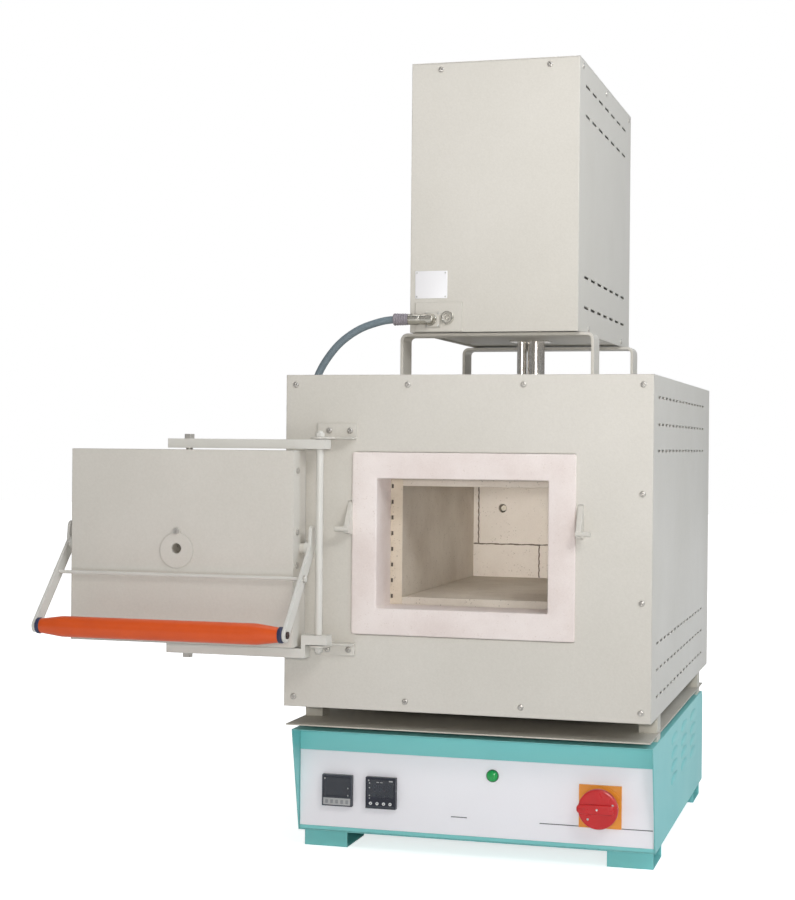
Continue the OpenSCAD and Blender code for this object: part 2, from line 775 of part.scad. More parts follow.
module tower_lid() color([0.84, 0.84, 0.82]) difference() {
    union() {
        block([-tower_w / 2, tower_y0, tower_z1 - tower_t], [tower_w / 2, tower_y1, tower_z1]);
        block([-shell_in_x + 0.2, tower_y0 + tower_t + 0.2, tower_z1 - lid_flange],
            [shell_in_x - 0.2, tower_y1 - tower_t - 0.2, tower_z1 - tower_t]);
    }
    block([-shell_in_x + 2, tower_y0 + tower_t + 2, tower_z1 - lid_flange - cut],
        [shell_in_x - 2, tower_y1 - tower_t - 2, tower_z1 - tower_t]);
    translate([0, flue_y, tower_z1 - 50]) cylinder(r = exhaust_dia / 2 + 0.2, h = 60);
}

core_half_x = 100;
core_half_y = 115;

module afterburner_core() color([0.9, 0.88, 0.82]) difference() {
    block([-core_half_x, flue_y - core_half_y, core_z0],
        [core_half_x, flue_y + core_half_y, core_z0 + core_h]);
    translate([0, flue_y, core_z0 - cut]) cylinder(r = core_bore_r, h = core_h + 2 * cut);
    for (turn = [45 : 90 : 315])
        translate([core_rod_ring * cos(turn), flue_y + core_rod_ring * sin(turn), core_z0 + 29.5])
            cylinder(r = core_rod_r + fit, h = core_h - 59);
}

module exhaust_collar() color([0.75, 0.75, 0.73]) {
    wall = 3;
    difference() {
        union() {
            translate([0, flue_y, tower_z1 - tower_t - collar_drop])
                cylinder(r = exhaust_dia / 2, h = tower_t + collar_drop + exhaust_h);
            translate([0, flue_y, tower_z1]) cylinder(r = exhaust_dia / 2 + 12, h = 2);
        }
        translate([0, flue_y, tower_z1 - 60]) cylinder(r = exhaust_dia / 2 - wall, h = 60 + exhaust_h + cut);
    }
}

module connector_panel() color([0.78, 0.77, 0.73]) {
    plate_y = tower_y0 - socket_t;
    difference() {
        block([socket_plate_x0, plate_y, tower_z0 + 1],
            [socket_plate_x1, tower_y0, tower_z0 + socket_plate_h]);
        rod_y(socket_x, plate_y - cut, socket_z, 8, socket_t + 2 * cut);
        rod_y(signal_x, plate_y - cut, signal_z, 8, socket_t + 2 * cut);
    }
    difference() {
        union() {
            rod_y(signal_x, plate_y - 5, signal_z, 10, 5);
            rod_y(signal_x, plate_y - 5, signal_z, 7.8, 5 + socket_t);
        }
        rod_y(signal_x, plate_y - 5 - cut, signal_z, 7, 4 + cut);
        for (turn = [0 : 90 : 270]) rod_y(signal_x + 3.4 * cos(turn), plate_y - 2,
            signal_z + 3.4 * sin(turn), 0.9, 2.5);
    }
    block([socket_x - 12, plate_y - 3, socket_z - 12], [socket_x + 12, plate_y, socket_z + 12]);
}

module tower_plug() color([0.72, 0.71, 0.68]) {
    nose_y = tower_y0 - socket_t - 3;
    difference() {
        union() {
            rod_y(socket_x, plug_y - 8.5, socket_z, 9.2, nose_y - plug_y + 8.5);
            rod_x(socket_x - barrel_l, plug_y, socket_z, barrel_r, barrel_l);
        }
        rod_x(socket_x - barrel_l - cut, plug_y, socket_z, 3, 10);
    }
    translate([socket_x - barrel_l - boot_l, plug_y, socket_z]) rotate([0, 90, 0])
        cylinder(r1 = boot_r - 1.8, r2 = boot_r, h = boot_l);
}

// Point on a smooth curve through the route, in the stretch that starts at i
function spline(p, i, t) =
    let (a = p[max(i - 1, 0)], b = p[i], c = p[i + 1], d = p[min(i + 2, len(p) - 1)])
    0.5 * (2 * b + (c - a) * t + (2 * a - 5 * b + 4 * c - d) * t * t + (3 * b - a - 3 * c + d) * t * t * t);

function route(p, steps) = concat(
    [for (i = [0 : len(p) - 2]) for (k = [0 : steps - 1]) spline(p, i, k / steps)], [p[len(p) - 1]]);

function unit(v) = v / norm(v);

// Direction of the curve at ring i: square to the plug and to the gland at its two ends
function heading(q, i) =
    i == 0 || i == len(q) - 1 ? [i == 0 ? -1 : 1, 0, 0] : unit(q[i + 1] - q[i - 1]);

function ring(q, i, r, sides) =
    let (d = heading(q, i), u = unit(cross(d, [0, 1, 0.01])), v = cross(d, u))
    [for (k = [0 : sides - 1]) q[i] + r * (u * cos(360 * k / sides) + v * sin(360 * k / sides))];

// Round tube swept along the route
module swept_tube(q, r, sides) {
    n = len(q);
    points = [for (i = [0 : n - 1]) each ring(q, i, r, sides)];
    walls = [for (i = [0 : n - 2]) for (k = [0 : sides - 1]) for (half = [0, 1])
        let (a = i * sides + k, b = i * sides + (k + 1) % sides)
        half == 0 ? [a, a + sides, b] : [b, a + sides, b + sides]];
    ends = [[for (k = [0 : sides - 1]) k], [for (k = [sides - 1 : -1 : 0]) (n - 1) * sides + k]];
    polyhedron(points, concat(walls, ends));
}

module tower_cable() color([0.43, 0.5, 0.53])
    swept_tube(route(cable_points, 3), cable_r, cable_sides);

mains_in = 79;
mains_x = -base_w / 2 + mains_in;
mains_z = 90;
mains_bore_r = 5.5;

module cable_glands() color([0.25, 0.25, 0.27]) {
    side_x = -base_w / 2;
    difference() {
        union() {
            rod_x(side_x - gland_l, gland_y, gland_z, 9.5, gland_l);
            translate([side_x - 8, gland_y, gland_z]) rotate([0, 90, 0]) cylinder(r = 13, h = 8, $fn = 6);
            rod_x(side_x, gland_y, gland_z, 8, base_t + 8);
            translate([side_x + base_t, gland_y, gland_z]) rotate([0, 90, 0])
                cylinder(r = 12, h = 5, $fn = 6);
        }
        rod_x(side_x, gland_y, gland_z, 5, 20);
    }
    translate([mains_x, base_y1, mains_z]) rotate([-90, 0, 0]) difference() {
        union() {
            cylinder(r = 11, h = 22);
            cylinder(r = 15, h = 8, $fn = 6);
            translate([0, 0, -base_t - 10]) cylinder(r = 10, h = base_t + 10);
            translate([0, 0, -base_t - 5]) cylinder(r = 14, h = 5, $fn = 6);
        }
        translate([0, 0, -30]) cylinder(r = mains_bore_r, h = 60);
    }
}

// Housing of a controller without its pockets
module controller_blank(x) {
    half = ctrl_face / 2;
    block([x - half, panel_face_y - ctrl_proud, panel_axis_z - half],
        [x + half, panel_face_y, panel_axis_z + half]);
    block([x - ctrl_body / 2, panel_face_y - cut, panel_axis_z - ctrl_body / 2],
        [x + ctrl_body / 2, panel_y + ctrl_depth, panel_axis_z + ctrl_body / 2]);
}

face_y = panel_face_y - ctrl_proud;
left_window = [42, 30];
left_window_z = 6;
right_window = [42, 27];
right_window_z = 7;
keypad = [44, 11];
keypad_z = -17;

module left_controller() color([0.2, 0.21, 0.24]) difference() {
    controller_blank(ctrl_left_x);
    pocket(ctrl_left_x, left_window_z, left_window, window_t);
    pocket(ctrl_left_x, keypad_z, keypad, 0.6);
}

module right_controller() color([0.14, 0.14, 0.16]) difference() {
    controller_blank(ctrl_right_x);
    pocket(ctrl_right_x, right_window_z, right_window, window_t);
    for (i = [0 : 3]) rod_y(key_x(i), face_y - cut, key_z, key_dia / 2 + run, key_l + key_travel + cut);
}

// Shallow rectangular recess in a controller face
module pocket(x, z, size, depth)
    translate([x - size[0] / 2, face_y - cut, panel_axis_z + z - size[1] / 2])
        cube([size[0], depth + cut, size[1]]);

module display_windows() color([0.08, 0.1, 0.14]) {
    inset = 0.1;
    for (w = [[ctrl_left_x, left_window_z, left_window], [ctrl_right_x, right_window_z, right_window]])
        block([w[0] - w[2][0] / 2 + inset, face_y, panel_axis_z + w[1] - w[2][1] / 2 + inset],
            [w[0] + w[2][0] / 2 - inset, face_y + window_t, panel_axis_z + w[1] + w[2][1] / 2 - inset]);
}

module left_keypad() color([0.7, 0.71, 0.7])
    block([ctrl_left_x - keypad[0] / 2 + 0.1, face_y - 0.2, panel_axis_z + keypad_z - keypad[1] / 2 + 0.1],
        [ctrl_left_x + keypad[0] / 2 - 0.1, face_y + 0.6, panel_axis_z + keypad_z + keypad[1] / 2 - 0.1]);

key_z = panel_axis_z - key_drop;
function key_x(i) = ctrl_right_x + (i - 1.5) * key_pitch;

module key(i) color([0.85, 0.85, 0.84]) rod_y(key_x(i), face_y - key_proud, key_z, key_dia / 2,
    key_proud + key_l);
module key_one() key(0);
module key_two() key(1);
module key_three() key(2);
module key_four() key(3);

module pilot_lamp() color([0.1, 0.62, 0.35]) {
    lens_r = lamp_dia / 2 - 1.5;
    rod_y(lamp_x, panel_face_y - 2, lamp_z, lamp_dia / 2, 2);
    rod_y(lamp_x, panel_face_y - 3, lamp_z, lamp_dia / 2 - 1 - fit, 30);
    translate([lamp_x, panel_face_y - 3, lamp_z]) rotate([90, 0, 0]) intersection() {
        translate([0, 0, -lens_r / 2]) sphere(lens_r);
        cylinder(r = lens_r, h = lens_r);
    }
}

module switch_plate() color([0.96, 0.66, 0.2]) facing(panel_face_y - plate_t, plate_t) difference() {
    translate([switch_x, panel_axis_z]) square(plate_side, center = true);
    translate([switch_x, panel_axis_z]) circle(shaft_r + 1);
}

knob_t = 12;
grip_t = 14;

// The knob's grip points to the left at rest, which is off
module switch_knob() color([0.84, 0.14, 0.16]) {
    back = panel_face_y - plate_t - knob_gap;
    rod_y(switch_x, back - knob_t, panel_axis_z, knob_dia / 2, knob_t);
    block([switch_x - knob_dia / 2 - 2, back - knob_t - grip_t, panel_axis_z - 8],
        [switch_x + knob_dia / 2 - 6, back - knob_t, panel_axis_z + 8]);
    rod_y(switch_x, back, panel_axis_z, shaft_r, plate_t + knob_gap + overlay_t + base_t + 30);
}

switch_body = 50;
switch_body_l = 62;
switch_bore_l = 42;
contactor = [46, 80, 84];
contactor_x = [switch_x - 137, switch_x - 67];
contactor_y = panel_y + 190;
relay = [120, 120, 40];
relay_y = panel_y + 350;
terminal = [140, 36, 36];
terminal_in = 121;

module power_parts() color([0.3, 0.3, 0.33]) {
    floor_z = base_z0 + base_t;
    behind = panel_y + base_t;
    difference() {
        block([switch_x - switch_body / 2, behind, panel_axis_z - switch_body / 2],
            [switch_x + switch_body / 2, behind + switch_body_l, panel_axis_z + switch_body / 2]);
        rod_y(switch_x, behind - cut, panel_axis_z, shaft_r + run, switch_bore_l);
    }
    for (x = contactor_x)
        block([x, contactor_y, floor_z], [x + contactor[0], contactor_y + contactor[1],
            floor_z + contactor[2]]);
    block([-relay[0] / 2, relay_y, floor_z], [relay[0] / 2, relay_y + relay[1], floor_z + relay[2]]);
    block([mains_x, base_y1 - terminal_in, floor_z],
        [mains_x + terminal[0], base_y1 - terminal_in + terminal[1], floor_z + terminal[2]]);
}

// Catch beside the mouth, drawn on the +X side: a gusset with an outward peg at its foot
module catch_piece() {
    peg_y = pivot_y + peg_out;
    peg_z = door_z + peg_up;
    sideways(peg_x0, gusset_t)
        polygon([[front_y, peg_z + 42], [front_y, peg_z - 9], [peg_y, peg_z - 6], [peg_y, peg_z + 4]]);
    rod_x(peg_x0, peg_y, peg_z, peg_dia / 2, peg_x1 - peg_x0);
}

module door_catches() color([0.78, 0.77, 0.73]) {
    catch_piece();
    mirror([1, 0, 0]) catch_piece();
}

leaf_top_z0 = top_arm_z0 + arm_h + leaf_gap;
leaf_low_z1 = block_z0 - leaf_gap;
bracket_top_z = leaf_top_z0 + 13;
bracket_low_z = leaf_low_z1 - 11;
leaf_r = 14;
plate_in = 20;
plate_out = 42;
plate_h = 24;
low_plate_h = 20;
// Wide part of a leaf, kept clear of the shut door
leaf_deep = door_gap - 6;

// Leaf that carries a hinge stub, from the body front to just past the post
module hinge_leaf(z, x0, x1) difference() {
    union() {
        block([post_x - leaf_r, pivot_y, z], [post_x + leaf_r, front_y, z + leaf_t]);
        translate([post_x, pivot_y, z]) cylinder(r = leaf_r, h = leaf_t);
        block([x0, front_y - leaf_deep, z], [x1, front_y, z + leaf_t]);
    }
    translate([post_x, pivot_y, z - cut]) cylinder(r = stub_r + run, h = leaf_t + 2 * cut);
}

module hinge_brackets() color([0.78, 0.77, 0.73]) {
    x0 = post_x - plate_in;
    x1 = post_x + plate_out;
    difference() {
        union() {
            hinge_leaf(leaf_top_z0, x0, x1);
            block([x0, front_y - leaf_t, leaf_top_z0], [x1, front_y, leaf_top_z0 + plate_h]);
        }
        for (x = bracket_screw_x) rod_y(x, front_y - 10, bracket_top_z, screw_r + fit, 20);
    }
    difference() {
        union() {
            hinge_leaf(leaf_low_z1 - leaf_t, x0, x1);
            block([x0, front_y - leaf_t, leaf_low_z1 - low_plate_h], [x1, front_y, leaf_low_z1]);
        }
        for (x = bracket_screw_x) rod_y(x, front_y - 10, bracket_low_z, screw_r + fit, 20);
    }
}

module hinge_post() color([0.8, 0.8, 0.78]) translate([post_x, pivot_y, 0]) {
    top = top_arm_z0 + arm_h;
    translate([0, 0, block_z0]) cylinder(d = post_dia, h = top - block_z0);
    translate([0, 0, block_z0 - leaf_gap - leaf_t - 9]) cylinder(r = stub_r, h = leaf_gap + leaf_t + 9);
    translate([0, 0, top]) cylinder(r = stub_r, h = leaf_gap + leaf_t + 9);
    translate([0, 0, top + leaf_gap + leaf_t + fit]) cylinder(r = 7, h = 6, $fn = 6);
    translate([0, 0, block_z0 - leaf_gap - leaf_t - fit - 6]) cylinder(r = 7, h = 6, $fn = 6);
}

module top_arm() color([0.8, 0.8, 0.78]) difference() {
    block([door_x - arm_over, pivot_y - arm_w / 2, top_arm_z0],
        [post_x + arm_tail, pivot_y + arm_w / 2, top_arm_z0 + arm_h]);
    translate([door_x, pivot_y, top_arm_z0 - cut]) cylinder(r = bolt_dia / 2 + 0.1, h = arm_h + 2 * cut);
    translate([post_x, pivot_y, top_arm_z0 - cut]) cylinder(r = post_dia / 2 + 0.1, h = arm_h + 2 * cut);
}

module bottom_arm() color([0.8, 0.8, 0.78]) difference() {
    z0 = low_arm_z1 - arm_h;
    riser_x = post_x - block_half - riser_t;
    union() {
        block([door_x - arm_over, pivot_y - arm_w / 2, z0],
            [riser_x + riser_t, pivot_y + arm_w / 2, low_arm_z1]);
        block([riser_x, pivot_y - arm_w / 2, z0], [riser_x + riser_t, pivot_y + arm_w / 2, block_z0 + arm_h]);
        block([riser_x, pivot_y - arm_w / 2, block_z0],
            [post_x + block_half, pivot_y + arm_w / 2, block_z0 + arm_h]);
    }
    translate([door_x, pivot_y, z0 - cut]) cylinder(r = bolt_dia / 2 + 0.1, h = arm_h + 2 * cut);
    translate([post_x, pivot_y, block_z0 - cut]) cylinder(r = post_dia / 2 + 0.1, h = arm_h + 2 * cut);
}

bolt_in = 16;
bolt_head_h = 7;
bolt_head_r = 8;

module arm_bolts() color([0.6, 0.6, 0.6]) translate([door_x, pivot_y, 0]) {
    top = top_arm_z0 + arm_h;
    low = low_arm_z1 - arm_h;
    reach = arm_h + arm_gap + bolt_in;
    translate([0, 0, top]) cylinder(r = bolt_head_r, h = bolt_head_h, $fn = 6);
    translate([0, 0, top - reach]) cylinder(d = bolt_dia, h = reach);
    translate([0, 0, low - bolt_head_h]) cylinder(r = bolt_head_r, h = bolt_head_h, $fn = 6);
    translate([0, 0, low]) cylinder(d = bolt_dia, h = reach);
}

proud_w = mouth_frame_w;
proud_h = mouth_frame_h;
return_y = door_y1 - door_sheet;

module door_shell() color([0.8, 0.79, 0.74]) difference() {
    half_w = door_w / 2;
    half_h = door_h / 2;
    union() {
        difference() {
            block([door_x - half_w, door_y0, door_z - half_h], [door_x + half_w, door_y1, door_z + half_h]);
            block([door_x - half_w + door_sheet, door_y0 + door_sheet, door_z - half_h + door_sheet],
                [door_x + half_w - door_sheet, return_y, door_z + half_h - door_sheet]);
            block([door_x - proud_w / 2 - fit, return_y - cut, axis_z - proud_h / 2 - fit],
                [door_x + proud_w / 2 + fit, door_y1 + cut, axis_z + proud_h / 2 + fit]);
        }
        for (z = [door_z - half_h, door_z + half_h - bush_l])
            translate([door_x, pivot_y, z]) cylinder(r = bush_r, h = bush_l);
        for (x = [door_x - boss_x, door_x + half_w - bush_l + 6])
            rod_x(x, pivot_y, door_z, boss_r, boss_l + bush_l - 6);
    }
    translate([door_x, pivot_y, door_z - half_h - cut])
        cylinder(r = bolt_dia / 2 + run, h = door_h + 2 * cut);
    rod_x(door_x - boss_x - cut, pivot_y, door_z, pin_r + run, 2 * boss_x + 2 * cut);
    rod_y(door_x + air_x, door_y0 - cut, air_z, air_r, door_sheet + 2 * cut);
    rod_y(door_x + air_x, door_y0 - cut, air_z + damper_screw_z, screw_r + run, door_sheet + 2 * cut);
}

module door_plug() color([0.9, 0.86, 0.82]) difference() {
    in_x = door_w / 2 - door_sheet - fit;
    in_z = door_h / 2 - door_sheet - fit;
    step_w = mouth_w / 2 - plug_clear;
    step_h = mouth_h / 2 - plug_clear;
    union() {
        block([door_x - in_x, door_y0 + door_sheet + fit, door_z - in_z],
            [door_x + in_x, return_y - fit, door_z + in_z]);
        block([door_x - proud_w / 2, return_y - fit, axis_z - proud_h / 2],
            [door_x + proud_w / 2, seat_y, axis_z + proud_h / 2]);
        block([door_x - step_w, seat_y, axis_z - step_h],
            [door_x + step_w, front_y - mouth_proud + plug_reach, axis_z + step_h]);
    }
    for (z = [door_z - door_h / 2, door_z + door_h / 2 - bush_l - 2])
        translate([door_x, pivot_y, z]) cylinder(r = bush_r + fit, h = bush_l + 2);
    for (x = [door_x - door_w / 2, door_x + door_w / 2 - bush_l])
        rod_x(x, pivot_y, door_z, boss_r + fit, bush_l);
    rod_y(door_x + air_x, door_y0, air_z, air_r + 1, door_t * 3);
    rod_y(door_x + air_x, door_y0, air_z + damper_screw_z, screw_r + 1, 12);
}

door_screw_z = [116, 25, -25];
door_screw_y = 15;

module door_screws() color([0.7, 0.7, 0.7]) {
    for (side = [-1, 1]) for (z = door_screw_z)
        translate([door_x + side * door_w / 2, door_y0 + door_screw_y, door_z + z])
            rotate([0, -90 * side, 0]) translate([0, 0, -screw_head_h])
                cylinder(r = screw_head_r, h = screw_head_h);
    translate([door_x + air_x, door_y0 - damper_t - 2 * fit, air_z + damper_screw_z]) rotate([-90, 0, 0])
        screw();
}

lever_end = [-grip_out, -grip_drop];
rod_at = lever_end * rod_share;

// Hook finger in the latched position, from the lever pivot
function latched_hook() = [[-9, 6], [20, 16.5], [27, 22], [30.2, 27.8], [36, 25], [33, 13], [7, -9]];

// Lever, hook plate and pivot pin on the +X side of the door, from the lever pivot
module lever() {
    sideways(lever_x, lever_t) difference() {
        bar_outline([[3, lever_top - lever_w / 2], [0, 0], lever_end], lever_w);
        translate(rod_at) circle(d = rod_dia + 0.2);
        translate(lever_end) circle(r = 4.2);
    }
    sideways(hook_x, hook_t) {
        circle(11);
        rotate(-latch_angle) polygon(latched_hook());
    }
    rod_x(boss_x - 22, 0, 0, pin_r, 22 + hook_t + fit);
}

module handle_levers() color([0.82, 0.81, 0.78]) translate([door_x, pivot_y, door_z]) {
    lever();
    mirror([1, 0, 0]) lever();
}

grip_taper = 42;
ferrule_l = 6;

module handle_grip() color([0.88, 0.31, 0.14]) translate([door_x, pivot_y - grip_out, door_z - grip_drop])
    rotate([0, 90, 0]) translate([0, 0, -lever_x]) rotate_extrude() polygon([
        [0, -lever_t], [4, -lever_t], [4, 0], [grip_end_dia / 2, 0], [grip_end_dia / 2, ferrule_l],
        [grip_dia / 2 - 1, grip_taper], [grip_dia / 2, lever_x], [grip_dia / 2 - 1, 2 * lever_x - grip_taper],
        [grip_end_dia / 2, 2 * lever_x - ferrule_l], [grip_end_dia / 2, 2 * lever_x],
        [4, 2 * lever_x], [4, 2 * lever_x + lever_t], [0, 2 * lever_x + lever_t]]);

module cross_rod() color([0.8, 0.8, 0.78]) translate([door_x, pivot_y + rod_at[0], door_z + rod_at[1]]) {
    end_x = lever_x + lever_t;
    rod_x(-end_x - 3, 0, 0, rod_dia / 2, 2 * end_x + 6);
    for (x = [-end_x - 4, end_x]) translate([x, 0, 0]) rotate([0, 90, 0]) cylinder(r = 5, h = 4, $fn = 6);
}

module air_damper() color([0.82, 0.81, 0.77])
    facing(door_y0 - damper_t - fit, damper_t) translate([door_x + air_x, air_z]) difference() {
        union() {
            translate([0, -damper_drop]) circle(damper_r);
            bar_outline([[0, 0], [0, damper_screw_z]], 12);
        }
        circle(air_r);
        translate([0, damper_screw_z]) circle(screw_r + run);
    }

base_cover();
base_front_panel();
panel_overlay();
base_chassis();
base_feet();
heat_shield();
spacers();
front_plate();
left_side_panel();
right_side_panel();
top_panel();
bottom_panel();
rear_panel();
casing_screws();
mouth_frame();
left_heating_plate();
right_heating_plate();
chamber_roof();
hearth_slab();
back_bricks();
insulation_boards();
element_wires();
thermocouple();
flue_tubes();
tower_stand();
tower_floor();
tower_shell();
tower_lid();
afterburner_core();
exhaust_collar();
connector_panel();
tower_plug();
tower_cable();
cable_glands();
left_controller();
right_controller();
display_windows();
left_keypad();
key_one();
key_two();
key_three();
key_four();
pilot_lamp();
switch_plate();
switch_knob();
power_parts();
door_catches();
hinge_brackets();
hinge_post();
top_arm();
bottom_arm();
arm_bolts();
door_shell();
door_plug();
door_screws();
handle_levers();
handle_grip();
cross_rod();
air_damper();
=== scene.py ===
"""A laboratory furnace with a parallel swing door, a control base and an afterburner tower.

Lengths are metres, +Z is up and the door faces -Y. A width, height and depth of a small form are
given in a Place, which has its own right, up and outward directions.
"""

import logging
import math
from dataclasses import dataclass
from enum import Enum
from typing import Any, Iterable, Iterator, Sequence

import bmesh
import bpy
from mathutils import Matrix, Vector


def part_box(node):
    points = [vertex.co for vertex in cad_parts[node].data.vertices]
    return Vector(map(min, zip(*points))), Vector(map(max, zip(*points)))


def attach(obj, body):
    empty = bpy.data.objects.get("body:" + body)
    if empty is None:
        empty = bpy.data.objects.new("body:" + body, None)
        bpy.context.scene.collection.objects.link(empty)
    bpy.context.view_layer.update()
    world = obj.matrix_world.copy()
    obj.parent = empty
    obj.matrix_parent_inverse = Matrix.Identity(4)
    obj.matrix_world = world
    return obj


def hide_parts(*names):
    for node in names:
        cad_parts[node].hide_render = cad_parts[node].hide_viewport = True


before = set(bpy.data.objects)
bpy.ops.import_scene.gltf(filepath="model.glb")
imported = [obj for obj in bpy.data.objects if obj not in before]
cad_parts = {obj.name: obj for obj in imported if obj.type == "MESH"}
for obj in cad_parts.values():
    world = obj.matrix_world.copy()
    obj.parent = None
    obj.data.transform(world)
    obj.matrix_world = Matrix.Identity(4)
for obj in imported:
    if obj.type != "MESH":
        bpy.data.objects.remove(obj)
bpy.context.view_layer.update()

log = logging.getLogger("furnace")

Point = tuple[float, float, float]
Pair = tuple[float, float]
Outline = list[Pair]
Tone = tuple[float, float, float, float]

WELD = 2e-6  # points of a mesh that are closer are one
FLAT = math.radians(0.5)  # a smaller fold between two faces is none


def srgb(red: int, green: int, blue: int) -> Tone:
    """Turns a colour as a screen shows it into linear light.

    Args:
        red, green, blue: parts from 0 to 255.

    Returns:
        The linear colour with full alpha.
    """
    linear = []
    for part in (red / 255.0, green / 255.0, blue / 255.0):
        linear.append(part / 12.92 if part <= 0.04045 else ((part + 0.055) / 1.055) ** 2.4)
    return (linear[0], linear[1], linear[2], 1.0)


# Places and forms


class Side(Enum):
    """The directions to the right and up, as seen by someone who looks at that side."""

    FRONT = ((1, 0, 0), (0, 0, 1))
    BACK = ((-1, 0, 0), (0, 0, 1))
    LEFT = ((0, -1, 0), (0, 0, 1))
    RIGHT = ((0, 1, 0), (0, 0, 1))
    TOP = ((1, 0, 0), (0, 1, 0))
    UNDER = ((1, 0, 0), (0, -1, 0))


@dataclass(frozen=True)
class Place:
    """A spot on the furnace with its own right, up and outward directions."""

    origin: Point
    side: Side = Side.FRONT

    def at(self, right: float, up: float, out: float) -> Vector:
        """Gives the point that lies so far right, up and out from the origin."""
        across, rise = (Vector(way) for way in self.side.value)
        return Vector(self.origin) + across * right + rise * up + across.cross(rise) * out

    def shifted(self, right: float, up: float, out: float = 0.0) -> "Place":
        """Gives the same place, moved along its own directions."""
        return Place(tuple(self.at(right, up, out)), self.side)

    def corners(self, right: float, up: float, out: float = 0.0) -> Iterator["Place"]:
        """Gives the four places that lie so far left or right and down or up."""
        for side in (-1, 1):
            for rise in (-1, 1):
                yield self.shifted(side * right, rise * up, out)


def rounded(width: float, height: float, radius: float, centre: Pair = (0.0, 0.0),
            steps: int = 5) -> Outline:
    """Draws a rectangle with round corners.

    Args:
        width, height: the size over all.
        radius: of the corners.
        centre: of the rectangle.
        steps: segments in each corner.

    Returns:
        The outline, anticlockwise.
    """
    points = []
    for corner, (side, rise) in enumerate(((1, 1), (-1, 1), (-1, -1), (1, -1))):
        right = centre[0] + side * (width / 2 - radius)
        up = centre[1] + rise * (height / 2 - radius)
        for step in range(steps + 1):
            turn = math.pi / 2 * (corner + step / steps)
            points.append((right + radius * math.cos(turn), up + radius * math.sin(turn)))
    return points


def ring_of(radius: float, count: int = 40, lobes: int = 0, depth: float = 0.0) -> Outline:
    """Draws a circle, or a lobed ring such as the opening of a cross or star recess.

    Args:
        radius: of the circle.
        count: of points.
        lobes: how many times the radius swings on its way round.
        depth: how far it swings, as a part of the radius.

    Returns:
        The outline, anticlockwise.
    """
    points = []
    for step in range(count):
        turn = 2 * math.pi * step / count
        reach = radius * (1 + depth * math.cos(lobes * turn))
        points.append((reach * math.cos(turn), reach * math.sin(turn)))
    return points


def hexagon(across: float, count: int = 36) -> Outline:
    """Draws a hexagon with extra points on its sides, so that it can be joined to a circle.

    Args:
        across: the width across the flats.
        count: of points.

    Returns:
        The outline, anticlockwise.
    """
    points = []
    for step in range(count):
        turn = 2 * math.pi * step / count
        off = (turn + math.pi / 6) % (math.pi / 3) - math.pi / 6
        reach = across / 2 / math.cos(off)
        points.append((reach * math.cos(turn), reach * math.sin(turn)))
    return points


